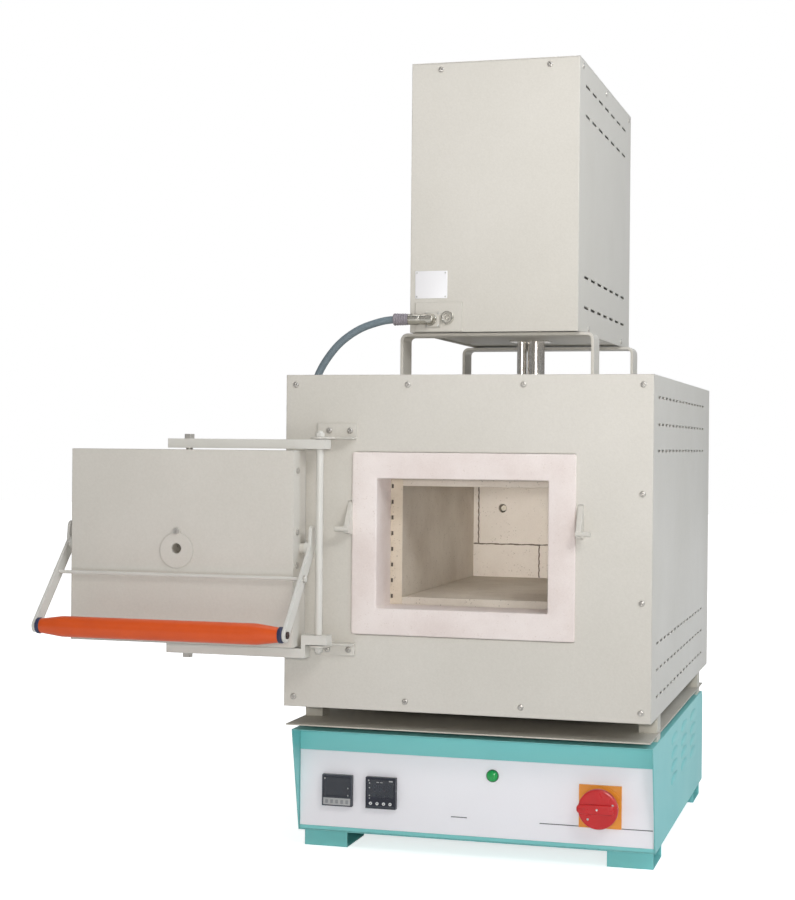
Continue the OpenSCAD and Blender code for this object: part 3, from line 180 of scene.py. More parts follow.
class Shape:
    """Collects closed forms and hands them over as one piece."""

    def __init__(self) -> None:
        """Starts with nothing."""
        self.mesh = bmesh.new()

    def _soften(self, edges: Iterable[bmesh.types.BMEdge], by: float, steps: int) -> None:
        """Rounds the edges of a form.

        Args:
            edges: that are rounded.
            by: the distance from the old edge.
            steps: segments across the rounding.
        """
        edges = list(edges)
        if by > 0 and edges:
            bmesh.ops.bevel(self.mesh, geom=edges, offset=by, segments=steps, profile=0.5,
                            affect="EDGES", clamp_overlap=True)

    def block(self, place: Place, low: Point, high: Point, by: float = 0.0,
              steps: int = 2) -> "Shape":
        """Adds a block with rounded edges.

        Args:
            place: that it is measured in.
            low, high: its corners.
            by: the rounding.
            steps: segments across the rounding.

        Returns:
            The shape, for the next form.
        """
        corners = [self.mesh.verts.new(place.at(*(
            (low, high)[pick >> (2 - part) & 1][part] for part in range(3)))) for pick in range(8)]
        faces = [self.mesh.faces.new([corners[i] for i in quad]) for quad in (
            (0, 1, 3, 2), (4, 6, 7, 5), (0, 4, 5, 1), (2, 3, 7, 6), (0, 2, 6, 4), (1, 5, 7, 3))]
        self._soften(dict.fromkeys(edge for face in faces for edge in face.edges), by, steps)
        return self

    def loft(self, rings: Sequence[Sequence[Vector]], cap_start: bool = True,
             cap_end: bool = True) -> list[list[bmesh.types.BMVert]]:
        """Joins rings of points into a skin.

        Args:
            rings: with the same number of points in each.
            cap_start, cap_end: whether the first and last ring are closed.

        Returns:
            The rings' vertices.
        """
        made = [[self.mesh.verts.new(point) for point in ring] for ring in rings]
        count = len(made[0])
        for one, two in zip(made, made[1:]):
            for step in range(count):
                after = (step + 1) % count
                self.mesh.faces.new((one[step], one[after], two[after], two[step]))
        if cap_start:
            self.mesh.faces.new(list(reversed(made[0])))
        if cap_end:
            self.mesh.faces.new(made[-1])
        return made

    def prism(self, place: Place, outline: Outline, low: float, high: float, by: float = 0.0,
              steps: int = 2) -> "Shape":
        """Adds a slab of any outline, with its front rim rounded.

        Args:
            place: that it is measured in.
            outline: of the slab.
            low, high: where it starts and ends along the outward direction.
            by: the rounding of the front rim.
            steps: segments across the rounding.

        Returns:
            The shape, for the next form.
        """
        rings = self.loft([[place.at(*point, level) for point in outline] for level in (low, high)])
        front = set(rings[1])
        self._soften(dict.fromkeys(edge for vert in rings[1] for edge in vert.link_edges
                                   if all(end in front for end in edge.verts)), by, steps)
        return self

    def collar(self, place: Place, outer: Outline, inner: Outline, low: float, high: float,
               by: float = 0.0, steps: int = 1) -> "Shape":
        """Adds a slab with a hole, such as a bezel. Both outlines have the same number of points.

        Args:
            place: that it is measured in.
            outer, inner: the outlines of slab and hole.
            low, high: where it starts and ends along the outward direction.
            by: the rounding of both front rims.
            steps: segments across the rounding. One makes a chamfer.

        Returns:
            The shape, for the next form.
        """
        size = max(max(abs(part) for part in point) for point in outer)

        def drawn(outline: Outline, level: float, grow: float) -> list[Vector]:
            """Gives an outline at a level, grown about the place's origin."""
            return [place.at(right * (1 + grow / size), up * (1 + grow / size), level)
                    for right, up in outline]

        turns = [math.pi / 2 * step / steps for step in range(steps + 1)] if by > 0 else [0.0]
        falls = [(high - by * (1 - math.sin(turn)), by * (1 - math.cos(turn))) for turn in turns]
        rings = [drawn(inner, low, 0), drawn(outer, low, 0)]
        rings += [drawn(outer, level, -cut) for level, cut in falls]
        rings += [drawn(inner, level, cut) for level, cut in reversed(falls)]
        made = self.loft(rings, cap_start=False, cap_end=False)
        for step, vert in enumerate(made[-1]):
            after = (step + 1) % len(made[-1])
            self.mesh.faces.new((vert, made[-1][after], made[0][after], made[0][step]))
        return self

    def pierced(self, place: Place, size: Point, holes: Sequence[Pair], hole: Pair,
                pocket: float) -> "Shape":
        """Adds a plate with a column of blind square holes in its front.

        Args:
            place: the middle of the plate's back.
            size: its width, height and thickness.
            holes: the middles of the holes, from below to above.
            hole: the width and height of a hole.
            pocket: the depth of a hole.

        Returns:
            The shape, for the next form.
        """
        wide, tall, thick = size
        rights = [-wide / 2, holes[0][0] - hole[0] / 2, holes[0][0] + hole[0] / 2, wide / 2]
        edges = [spot[1] + side * hole[1] / 2 for spot in holes for side in (-1, 1)]
        ups = [-tall / 2, *edges, tall / 2]
        made: dict[tuple[int, int, float], bmesh.types.BMVert] = {}

        def vert(column: int, row: int, out: float) -> bmesh.types.BMVert:
            """Gives the grid's vertex at that depth."""
            key = (column, row, out)
            if key not in made:
                made[key] = self.mesh.verts.new(place.at(rights[column], ups[row], out))
            return made[key]

        last = len(ups) - 1
        for column in range(3):
            for row in range(last):
                ring = ((column, row), (column + 1, row), (column + 1, row + 1), (column, row + 1))
                sunk = column == 1 and row % 2 == 1
                floor = thick - pocket if sunk else thick
                self.mesh.faces.new([vert(*corner, floor) for corner in ring])
                if sunk:
                    for one, two in zip(ring, ring[1:] + ring[:1]):
                        self.mesh.faces.new((vert(*one, thick), vert(*two, thick),
                                             vert(*two, floor), vert(*one, floor)))
        rim = ([(column, 0) for column in range(3)] + [(3, row) for row in range(last)]
               + [(column, last) for column in range(3, 0, -1)]
               + [(0, row) for row in range(last, 0, -1)])
        for one, two in zip(rim, rim[1:] + rim[:1]):
            self.mesh.faces.new((vert(*one, 0.0), vert(*two, 0.0),
                                 vert(*two, thick), vert(*one, thick)))
        self.mesh.faces.new([vert(*spot, 0.0) for spot in reversed(rim)])
        return self

    def absorb(self, mesh: bpy.types.Mesh) -> "Shape":
        """Takes over a mesh as it is, welded and without needless edges.

        Args:
            mesh: that is taken over and then dropped.

        Returns:
            The shape, for the next form.
        """
        self.mesh.from_mesh(mesh)
        bpy.data.meshes.remove(mesh)
        bmesh.ops.remove_doubles(self.mesh, verts=self.mesh.verts, dist=WELD)
        bmesh.ops.dissolve_degenerate(self.mesh, edges=self.mesh.edges, dist=WELD)
        bmesh.ops.dissolve_limit(self.mesh, angle_limit=FLAT, verts=self.mesh.verts,
                                 edges=self.mesh.edges)
        return self

    def lathe(self, place: Place, profile: Sequence[Pair], count: int = 40, lobes: int = 0,
              depth: float = 0.0, lobed: range = range(0)) -> "Shape":
        """Adds a turned form about the outward direction.

        Args:
            place: whose origin is on the axis.
            profile: pairs of radius and distance outward. A radius of 0 closes an end.
            count: of points in each ring.
            lobes, depth: of the rings that swing in and out, as in ring_of.
            lobed: which rings of the profile swing.

        Returns:
            The shape, for the next form.
        """
        closed_start, closed_end = profile[0][0] == 0, profile[-1][0] == 0
        first, last = int(closed_start), len(profile) - int(closed_end)
        rings = [[place.at(*point, out) for point in ring_of(
            radius, count, lobes, depth if step in lobed else 0.0)]
            for step, (radius, out) in enumerate(profile[first:last], first)]
        made = self.loft(rings, cap_start=not closed_start, cap_end=not closed_end)
        for closed, ring, (_, out) in ((closed_start, made[0], profile[0]),
                                       (closed_end, made[-1], profile[-1])):
            if closed:
                tip = self.mesh.verts.new(place.at(0, 0, out))
                for step in range(count):
                    self.mesh.faces.new((ring[step], ring[(step + 1) % count], tip))
        return self

    def tube(self, points: Sequence[Vector], radii: Sequence[float], count: int = 20) -> "Shape":
        """Adds a round tube along a path, without twist.

        Args:
            points: of the path.
            radii: one for each point.
            count: of points in each ring.

        Returns:
            The shape, for the next form.
        """
        ways = [(points[min(i + 1, len(points) - 1)] - points[max(i - 1, 0)]).normalized()
                for i in range(len(points))]
        across = ways[0].orthogonal().normalized()
        rings = []
        for point, way, radius in zip(points, ways, radii):
            across = (across - way * across.dot(way)).normalized()
            other = way.cross(across)
            rings.append([point + (across * math.cos(turn) + other * math.sin(turn)) * radius
                          for turn in (2 * math.pi * step / count for step in range(count))])
        self.loft(rings)
        return self

    def scoop(self, place: Place, half: Pair, rise: float, sunk: float) -> "Shape":
        """Adds a pressed louvre: a smooth bulge that is open below.

        Args:
            place: the louvre's middle on the sheet.
            half: half its length and half its height.
            rise: how far it stands proud.
            sunk: how far its rim lies below the sheet's face.

        Returns:
            The shape, for the next form.
        """
        columns, rows = 32, 14
        fall, least = 1.75, 0.02  # how far down the bulge reaches, and its width at the tip
        top = []
        for row in range(rows + 1):
            up = 1 - fall * min(row, rows - 1) / (rows - 1)
            reach = max(0.0, 1 - up * up) ** 0.5
            line = []
            for column in range(columns + 1):
                right = math.sin(math.pi / 2 * (-1 + 2 * column / columns))
                dome = max(0.0, (1 - right * right) * reach * reach) ** 0.5
                lift = rise * dome if row < rows else 0.0
                spot = place.at(right * half[0] * max(reach, least), up * half[1], lift - sunk)
                line.append(self.mesh.verts.new(spot))
            top.append(line)
        for above, below in zip(top, top[1:]):
            for column in range(columns):
                self.mesh.faces.new((above[column], below[column],
                                     below[column + 1], above[column + 1]))
        rim = ([line[0] for line in top] + top[-1][1:] + [line[-1] for line in reversed(top[:-1])]
               + list(reversed(top[0][1:-1])))
        self.mesh.faces.new(list(reversed(rim)))
        return self

    def piece(self, name: str, body: str, finish: "Finish", stands_for: Sequence[str] = (),
              angle: float = 32.0) -> bpy.types.Object:
        """Turns the forms into one object that rides on a body.

        Args:
            name: of the piece.
            body: that it rides on.
            finish: that it is dressed in.
            stands_for: the frame's nodes that it replaces.
            angle: edges sharper than this stay sharp, in degrees.

        Returns:
            The object.
        """
        bmesh.ops.recalc_face_normals(self.mesh, faces=self.mesh.faces)
        mesh = bpy.data.meshes.new(name)
        self.mesh.to_mesh(mesh)
        self.mesh.free()
        mesh.polygons.foreach_set("use_smooth", [True] * len(mesh.polygons))
        mesh.set_sharp_from_angle(angle=math.radians(angle))
        mesh.materials.append(finish.material())
        made = bpy.data.objects.new(name, mesh)
        bpy.context.scene.collection.objects.link(made)
        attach(made, body)
        if stands_for:
            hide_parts(*stands_for)
        return made


# Node trees


class Tree:
    """Places nodes in one node tree and wires them."""

    def __init__(self, tree: bpy.types.NodeTree) -> None:
        """Keeps the tree and where the next node is drawn."""
        self.tree = tree
        self.placed = 0

    def node(self, kind: str, inputs: dict[str | int, Any] | None = None,
             **settings: Any) -> bpy.types.Node:
        """Adds a node.

        Args:
            kind: the node's type.
            inputs: values or outputs for its sockets, by name or number.
            settings: its own properties.

        Returns:
            The node.
        """
        made = self.tree.nodes.new(kind)
        made.location = (self.placed % 8 * 220, -(self.placed // 8) * 320)
        self.placed += 1
        for name, value in settings.items():
            setattr(made, name, value)
        for name, value in (inputs or {}).items():
            self.feed(made.inputs[name], value)
        return made

    def feed(self, socket: bpy.types.NodeSocket, value: Any) -> None:
        """Gives a socket a value, or links it to another node's output."""
        if isinstance(value, bpy.types.NodeSocket):
            self.tree.links.new(value, socket)
        else:
            socket.default_value = value

    def math(self, kind: str, one: Any, two: Any = 0.0,
             clamp: bool = False) -> bpy.types.NodeSocket:
        """Adds a Math node and gives its result."""
        return self.node("ShaderNodeMath", {0: one, 1: two}, operation=kind,
                         use_clamp=clamp).outputs[0]

    def blend(self, amount: Any, one: Any, two: Any) -> bpy.types.NodeSocket:
        """Adds a colour Mix node and gives its result."""
        return self.node("ShaderNodeMix", {0: amount, 6: one, 7: two}, data_type="RGBA").outputs[2]

    def spread(self, value: Any, low: float, high: float, to_low: Any = 0.0,
               to_high: Any = 1.0) -> bpy.types.NodeSocket:
        """Adds a Map Range node and gives its result."""
        return self.node("ShaderNodeMapRange", {0: value, 1: low, 2: high, 3: to_low,
                                                4: to_high}).outputs[0]

    def noise(self, where: Any, scale: Any, detail: float = 3.0,
              rough: float = 0.55) -> bpy.types.NodeSocket:
        """Adds a Noise Texture node and gives its value."""
        return self.node("ShaderNodeTexNoise", {"Vector": where, "Scale": scale, "Detail": detail,
                                                "Roughness": rough}).outputs[0]

    def here(self) -> bpy.types.NodeSocket:
        """Gives the point in the object's own coordinates."""
        return self.node("ShaderNodeTexCoord").outputs["Object"]


class Effect:
    """A node group that several finishes share. It is built once and placed with its own values."""

    name = ""
    takes: tuple[tuple[str, str, Any], ...] = ()
    gives: tuple[tuple[str, str], ...] = ()

    @classmethod
    def wire(cls, tree: Tree, given: bpy.types.Node) -> dict[str, bpy.types.NodeSocket]:
        """Makes the nodes inside the group.

        Args:
            tree: of the group.
            given: the node with the group's inputs.

        Returns:
            The outputs by name.
        """
        raise NotImplementedError

    @classmethod
    def place(cls, tree: Tree, values: dict[str, Any]) -> bpy.types.Node:
        """Places the group in a material, and builds it if it is the first time.

        Args:
            tree: of the material.
            values: of the group's inputs.

        Returns:
            The group's node.
        """
        group = bpy.data.node_groups.get(cls.name)
        if group is None:
            group = bpy.data.node_groups.new(cls.name, "ShaderNodeTree")
            add = group.interface.new_socket
            for name, kind, value in cls.takes:
                add(name, in_out="INPUT", socket_type=f"NodeSocket{kind}").default_value = value
            for name, kind in cls.gives:
                add(name, in_out="OUTPUT", socket_type=f"NodeSocket{kind}")
            inside = Tree(group)
            outputs = cls.wire(inside, inside.node("NodeGroupInput"))
            inside.node("NodeGroupOutput", dict(outputs))
        made = tree.node("ShaderNodeGroup", node_tree=group)
        for name, value in values.items():
            tree.feed(made.inputs[name], value)
        return made


class UnevenTone(Effect):
    """Soft patches between two tones, with a fine grain on top."""

    name = "Uneven tone"
    takes = (("Tone", "Color", (0.8, 0.8, 0.8, 1)), ("Second Tone", "Color", (0.7, 0.7, 0.7, 1)),
             ("Patch Scale", "Float", 5.0), ("Patch Amount", "Float", 0.6),
             ("Grain Scale", "Float", 900.0), ("Grain Amount", "Float", 0.05))
    gives = (("Color", "Color"), ("Grain", "Float"), ("Patches", "Float"))

    @classmethod
    def wire(cls, tree: Tree, given: bpy.types.Node) -> dict[str, bpy.types.NodeSocket]:
        """Makes the nodes inside the group. See Effect.wire."""
        here = tree.here()
        patches = tree.spread(tree.noise(here, given.outputs["Patch Scale"], 5.0), 0.34, 0.66)
        grain = tree.noise(here, given.outputs["Grain Scale"], 2.0, 0.7)
        tone = tree.blend(tree.math("MULTIPLY", patches, given.outputs["Patch Amount"]),
                          given.outputs["Tone"], given.outputs["Second Tone"])
        shade = tree.math("MULTIPLY", tree.math("SUBTRACT", grain, 0.5),
                          given.outputs["Grain Amount"])
        flecked = tree.node("ShaderNodeBrightContrast", {"Color": tone, "Bright": shade}).outputs[0]
        return {"Color": flecked, "Grain": grain, "Patches": patches}


class WornEdgesAndHighlights(Effect):
    """A mask along a form's edges, broken up as handling wears them; the lighter tone laid on it is
    wear and a painted highlight.
    """

    name = "Worn edges and painted highlights"
    takes = (("Reach", "Float", 0.0015), ("Amount", "Float", 0.5), ("Break Scale", "Float", 120.0))
    gives = (("Mask", "Float"), ("Normal", "Vector"))

    @classmethod
    def wire(cls, tree: Tree, given: bpy.types.Node) -> dict[str, bpy.types.NodeSocket]:
        """Makes the nodes inside the group. See Effect.wire."""
        soft = tree.node("ShaderNodeBevel", {"Radius": given.outputs["Reach"]},
                         samples=4).outputs[0]
        flat = tree.node("ShaderNodeNewGeometry").outputs["Normal"]
        along = tree.node("ShaderNodeVectorMath", {0: soft, 1: flat},
                          operation="DOT_PRODUCT").outputs["Value"]
        # the edge mask carries wear and also a painted highlight on rounded folds
        edge = tree.math("MULTIPLY", tree.math("SUBTRACT", 1.0, along), 6.0, clamp=True)
        broken = tree.spread(tree.noise(tree.here(), given.outputs["Break Scale"], 4.0), 0.38, 0.62)
        mask = tree.math("MULTIPLY", tree.math("MULTIPLY", edge, broken), given.outputs["Amount"],
                         clamp=True)
        return {"Mask": mask, "Normal": soft}


class SettledDust(Effect):
    """A mask of dust on what faces up, in patches."""

    name = "Settled dust"
    takes = (("Amount", "Float", 0.3), ("Patch Scale", "Float", 14.0))
    gives = (("Mask", "Float"),)

    @classmethod
    def wire(cls, tree: Tree, given: bpy.types.Node) -> dict[str, bpy.types.NodeSocket]:
        """Makes the nodes inside the group. See Effect.wire."""
        normal = tree.node("ShaderNodeTexCoord").outputs["Normal"]
        up = tree.node("ShaderNodeSeparateXYZ", {0: normal}).outputs["Z"]
        cloud = tree.noise(tree.here(), given.outputs["Patch Scale"], 6.0, 0.65)
        patches = tree.spread(cloud, 0.3, 0.75)
        mask = tree.math("MULTIPLY", tree.spread(up, 0.55, 0.98), patches)
        return {"Mask": tree.math("MULTIPLY", mask, given.outputs["Amount"], clamp=True)}


class DrawnLines(Effect):
    """Fine lines that rolling, drawing or brushing leaves in metal."""

    name = "Drawn lines"
    takes = (("Stretch", "Vector", (1.0, 1.0, 1.0)), ("Line Scale", "Float", 40.0))
    gives = (("Lines", "Float"),)

    @classmethod
    def wire(cls, tree: Tree, given: bpy.types.Node) -> dict[str, bpy.types.NodeSocket]:
        """Makes the nodes inside the group. See Effect.wire."""
        drawn = tree.node("ShaderNodeMapping", {"Vector": tree.here(),
                                                "Scale": given.outputs["Stretch"]})
        return {"Lines": tree.noise(drawn.outputs[0], given.outputs["Line Scale"], 6.0, 0.7)}


class FiredPores(Effect):
    """The pores, coarse grains and pale bloom of a fired refractory."""

    name = "Fired pores"
    takes = (("Pore Scale", "Float", 260.0), ("Grain Scale", "Float", 700.0))
    gives = (("Pores", "Float"), ("Height", "Float"), ("Bloom", "Float"))

    @classmethod
    def wire(cls, tree: Tree, given: bpy.types.Node) -> dict[str, bpy.types.NodeSocket]:
        """Makes the nodes inside the group. See Effect.wire."""
        here = tree.here()
        cells = tree.node("ShaderNodeTexVoronoi", {
            "Vector": here, "Scale": given.outputs["Pore Scale"]}, feature="F1").outputs["Distance"]
        holes = tree.spread(cells, 0.1, 0.3, 1.0, 0.0)
        scattered = tree.spread(tree.noise(here, 70.0, 3.0), 0.5, 0.62)
        pores = tree.math("MULTIPLY", holes, scattered)
        grain = tree.noise(here, given.outputs["Grain Scale"], 4.0, 0.75)
        height = tree.math("SUBTRACT", tree.math("MULTIPLY", grain, 0.5), pores)
        bloom = tree.spread(tree.noise(here, 9.0, 5.0, 0.6), 0.4, 0.7)
        return {"Pores": pores, "Height": height, "Bloom": bloom}


# Finishes


@dataclass(frozen=True)
class Finish:
    """What every finish has: its name, the name of a slot in the record, and its tones."""

    name: str
    slot: str
    tone: Tone
    second: Tone

    def shade(self, tree: Tree, shader: bpy.types.Node) -> None:
        """Feeds the shader.

        Args:
            tree: of the material.
            shader: its Principled BSDF.
        """
        raise NotImplementedError

    def tones(self, tree: Tree, patches: Pair, grain: Pair) -> bpy.types.Node:
        """Places the uneven tone that every finish starts from.

        Args:
            tree: of the material.
            patches: the scale and amount of the soft patches.
            grain: the scale and amount of the fine grain.

        Returns:
            The group's node.
        """
        return UnevenTone.place(tree, {
            "Tone": self.tone, "Second Tone": self.second, "Patch Scale": patches[0],
            "Patch Amount": patches[1], "Grain Scale": grain[0], "Grain Amount": grain[1]})

    def lay(self, tree: Tree, shader: bpy.types.Node, colour: bpy.types.NodeSocket,
            rough: bpy.types.NodeSocket, relief: tuple[Any, Any, float, float]) -> None:
        """Feeds the shader's colour, roughness and relief.

        Args:
            tree: of the material.
            shader: its Principled BSDF.
            colour, rough: that change over the surface.
            relief: its height, the normal below it, its strength and its depth in metres.
        """
        height, normal, strength, depth = relief
        bump = tree.node("ShaderNodeBump", {"Height": height, "Normal": normal,
                                            "Strength": strength, "Distance": depth})
        tree.feed(shader.inputs["Base Color"], colour)
        tree.feed(shader.inputs["Roughness"], rough)
        tree.feed(shader.inputs["Normal"], bump.outputs[0])

    def material(self) -> bpy.types.Material:
        """Gives the finish's material, and makes it if it is the first time."""
        made = bpy.data.materials.get(self.name)
        if made is None:
            made = bpy.data.materials.new(self.name)
            made.use_nodes = True
            made.diffuse_color = self.tone
            made.node_tree.nodes.clear()
            tree = Tree(made.node_tree)
            shader = tree.node("ShaderNodeBsdfPrincipled")
            self.shade(tree, shader)
            tree.node("ShaderNodeOutputMaterial", {"Surface": shader.outputs[0]})
        return made


@dataclass(frozen=True)
class PaintedSheet(Finish):
    """Baked enamel on folded sheet, with lighter thin paint and a painted highlight along the
    folds, and a little dust on top.
    """

    rough: float = 0.42
    rough_swing: Pair = (-0.05, 0.06)
    patch_scale: float = 4.0
    patch_amount: float = 0.5
    grain_scale: float = 620.0
    grain_amount: float = 0.03
    orange_peel: float = 0.12
    peel_depth: float = 0.0004
    edge_reach: float = 0.0016
    edge_tone: Tone = srgb(240, 240, 238)
    edge_amount: float = 0.45
    dust_tone: Tone = srgb(205, 200, 190)
    dust_amount: float = 0.25
    dust_dulls: float = 0.4
    coat: float = 0.15
    coat_rough: float = 0.3

    def shade(self, tree: Tree, shader: bpy.types.Node) -> None:
        """Feeds the shader. See Finish.shade."""
        tones = self.tones(tree, (self.patch_scale, self.patch_amount),
                           (self.grain_scale, self.grain_amount))
        edges = WornEdgesAndHighlights.place(tree, {"Reach": self.edge_reach, "Amount": self.edge_amount})
        dust = SettledDust.place(tree, {"Amount": self.dust_amount}).outputs["Mask"]
        # the lighter edge tone is thin paint and a painted highlight on the folds
        worn_and_highlit = tree.blend(edges.outputs["Mask"], tones.outputs["Color"], self.edge_tone)
        rough = tree.spread(tones.outputs["Patches"], 0.0, 1.0,
                            *(self.rough + swing for swing in self.rough_swing))
        dull = tree.math("ADD", rough, tree.math("MULTIPLY", dust, self.dust_dulls))
        self.lay(tree, shader, tree.blend(dust, worn_and_highlit, self.dust_tone), dull,
                 (tones.outputs["Grain"], edges.outputs["Normal"], self.orange_peel,
                  self.peel_depth))
        shader.inputs["Coat Weight"].default_value = self.coat
        shader.inputs["Coat Roughness"].default_value = self.coat_rough


@dataclass(frozen=True)
class BareMetal(Finish):
    """Plated, bright or heat-tinted metal with drawn lines."""

    rough: float = 0.34
    rough_swing: Pair = (-0.07, 0.09)
    stretch: Point = (1.0, 12.0, 12.0)
    line_scale: float = 60.0
    line_strength: float = 0.25
    line_depth: float = 0.0003
    line_tint: float = 0.3
    patch_scale: float = 9.0
    patch_amount: float = 0.7
    grain: Pair = (500.0, 0.05)
    edge_reach: float = 0.0009
    edge_tone: Tone = srgb(235, 235, 232)
    edge_amount: float = 0.6
    edge_breaks: float = 200.0
    metallic: float = 1.0

    def shade(self, tree: Tree, shader: bpy.types.Node) -> None:
        """Feeds the shader. See Finish.shade."""
        tones = self.tones(tree, (self.patch_scale, self.patch_amount), self.grain)
        lines = DrawnLines.place(tree, {"Stretch": self.stretch,
                                        "Line Scale": self.line_scale}).outputs[0]
        edges = WornEdgesAndHighlights.place(tree, {"Reach": self.edge_reach, "Amount": self.edge_amount,
                                       "Break Scale": self.edge_breaks})
        streaked = tree.blend(tree.spread(lines, 0.35, 0.75, 0.0, self.line_tint),
                              tones.outputs["Color"], self.second)
        rough = tree.spread(lines, 0.3, 0.7, *(self.rough + swing for swing in self.rough_swing))
        # edges turn to the lighter edge tone: polished wear and a painted highlight
        self.lay(tree, shader, tree.blend(edges.outputs["Mask"], streaked, self.edge_tone), rough,
                 (lines, edges.outputs["Normal"], self.line_strength, self.line_depth))
        shader.inputs["Metallic"].default_value = self.metallic


@dataclass(frozen=True)
class Refractory(Finish):
    """Brick, moulded fibre or fired ceramic, with pores and a pale bloom."""

    bloom_tone: Tone = srgb(240, 234, 226)
    bloom_amount: float = 0.5
    pore_tone: Tone = srgb(110, 98, 84)
    pore_scale: float = 260.0
    pore_amount: float = 0.7
    grain_scale: float = 700.0
    patches: Pair = (11.0, 0.9)
    specks: Pair = (420.0, 0.1)
    edge_reach: float = 0.0022
    edge_amount: float = 0.4
    relief: float = 0.5
    relief_depth: float = 0.0008
    rough: float = 0.92
    rough_swing: Pair = (-0.06, 0.05)
    shine: float = 0.25

    def shade(self, tree: Tree, shader: bpy.types.Node) -> None:
        """Feeds the shader. See Finish.shade."""
        tones = self.tones(tree, self.patches, self.specks)
        fired = FiredPores.place(tree, {"Pore Scale": self.pore_scale,
                                        "Grain Scale": self.grain_scale})
        edges = WornEdgesAndHighlights.place(tree, {"Reach": self.edge_reach, "Amount": self.edge_amount})
        bloomed = tree.blend(tree.math("MULTIPLY", fired.outputs["Bloom"], self.bloom_amount),
                             tones.outputs["Color"], self.bloom_tone)
        pitted = tree.blend(tree.math("MULTIPLY", fired.outputs["Pores"], self.pore_amount),
                            bloomed, self.pore_tone)
        rough = tree.spread(fired.outputs["Bloom"], 0.0, 1.0,
                            *(self.rough + swing for swing in self.rough_swing))
        # edges turn to the pale bloom tone: rubbed refractory and a painted highlight
        self.lay(tree, shader, tree.blend(edges.outputs["Mask"], pitted, self.bloom_tone), rough,
                 (fired.outputs["Height"], edges.outputs["Normal"], self.relief, self.relief_depth))
        shader.inputs["Specular IOR Level"].default_value = self.shine


@dataclass(frozen=True)
class Plastic(Finish):
    """Moulded plastic with a fine spark-eroded grain."""

    rough: float = 0.4
    rough_swing: Pair = (-0.04, 0.06)
    patches: Pair = (28.0, 0.6)
    grain: Pair = (1500.0, 0.04)
    grain_strength: float = 0.2
    grain_depth: float = 0.0002
    coat: float = 0.0
    coat_rough: float = 0.12
    edge_reach: float = 0.0007
    edge_tone: Tone = srgb(150, 152, 156)
    edge_amount: float = 0.35
    edge_breaks: float = 320.0

    def shade(self, tree: Tree, shader: bpy.types.Node) -> None:
        """Feeds the shader. See Finish.shade."""
        tones = self.tones(tree, self.patches, self.grain)
        edges = WornEdgesAndHighlights.place(tree, {"Reach": self.edge_reach, "Amount": self.edge_amount,
                                       "Break Scale": self.edge_breaks})
        # edges turn to the lighter edge tone: rubbed plastic and a painted highlight
        rubbed = tree.blend(edges.outputs["Mask"], tones.outputs["Color"], self.edge_tone)
        rough = tree.spread(tones.outputs["Patches"], 0.0, 1.0,
                            *(self.rough + swing for swing in self.rough_swing))
        self.lay(tree, shader, rubbed, rough, (tones.outputs["Grain"], edges.outputs["Normal"],
                                               self.grain_strength, self.grain_depth))
        shader.inputs["Coat Weight"].default_value = self.coat
        shader.inputs["Coat Roughness"].default_value = self.coat_rough


# Each edge_tone below is the lighter colour along edges: wear and a painted highlight.
PANEL_GREY = PaintedSheet(
    "Grey structured enamel", "grey_paint", srgb(212, 208, 200), srgb(202, 198, 189), rough=0.46,
    patch_scale=2.6, patch_amount=0.8, grain_scale=330.0, grain_amount=0.08, orange_peel=0.4,
    edge_reach=0.0028, edge_tone=srgb(226, 223, 216), dust_tone=srgb(214, 210, 202))
LEVER_GREY = PaintedSheet(
    "Smooth grey enamel", "grey_paint", srgb(214, 212, 206), srgb(204, 202, 194), rough=0.36,
    patch_scale=9.0, orange_peel=0.15, edge_reach=0.0014, edge_amount=0.6, coat=0.3,
    dust_amount=0.1)
TURQUOISE = PaintedSheet(
    "Turquoise enamel", "turquoise_paint", srgb(132, 210, 208), srgb(122, 202, 204),
    edge_reach=0.0026, edge_tone=srgb(176, 228, 226), dust_amount=0.1,
    dust_tone=srgb(190, 214, 210))
FILM = PaintedSheet(
    "Pale panel film", "panel_film", srgb(249, 247, 252), srgb(245, 243, 249), rough=0.5,
    patch_amount=0.35, orange_peel=0.05, edge_amount=0.1, dust_amount=0.0, coat=0.0)
RULE_GREY = PaintedSheet(
    "Grey ruled line", "panel_film", srgb(96, 96, 100), srgb(84, 84, 90), rough=0.5,
    edge_amount=0.0, dust_amount=0.0, coat=0.0)
PLATE_WHITE = PaintedSheet(
    "Bare white plate", "grey_paint", srgb(240, 239, 241), srgb(234, 233, 236), rough=0.35,
    dust_amount=0.1)
SHIELD = BareMetal(
    "Heat shield sheet", "shield_steel", srgb(206, 202, 192), srgb(184, 179, 168), rough=0.55,
    stretch=(10.0, 1.0, 10.0), edge_tone=srgb(196, 192, 182), edge_amount=0.2, metallic=0.2)
SPACER = BareMetal(
    "Pale square tube", "shield_steel", srgb(206, 203, 192), srgb(190, 186, 174), rough=0.5,
    stretch=(8.0, 8.0, 1.0), edge_amount=0.2, metallic=0.2)
ZINC = BareMetal(
    "Zinc plated steel", "zinc_steel", srgb(214, 214, 212), srgb(186, 186, 182), rough=0.3)
SCREW = BareMetal(
    "Dulled screw steel", "zinc_steel", srgb(206, 202, 196), srgb(170, 166, 160), rough=0.34,
    line_scale=300.0, patch_scale=60.0, metallic=0.75)
BLACKENED = BareMetal(
    "Blackened bolt steel", "zinc_steel", srgb(84, 74, 72), srgb(62, 56, 54), rough=0.4,
    edge_tone=srgb(170, 120, 110))
TUBE_STEEL = BareMetal(
    "Bright tube steel", "bare_steel", srgb(232, 228, 222), srgb(210, 204, 196), rough=0.24,
    stretch=(8.0, 8.0, 1.0))
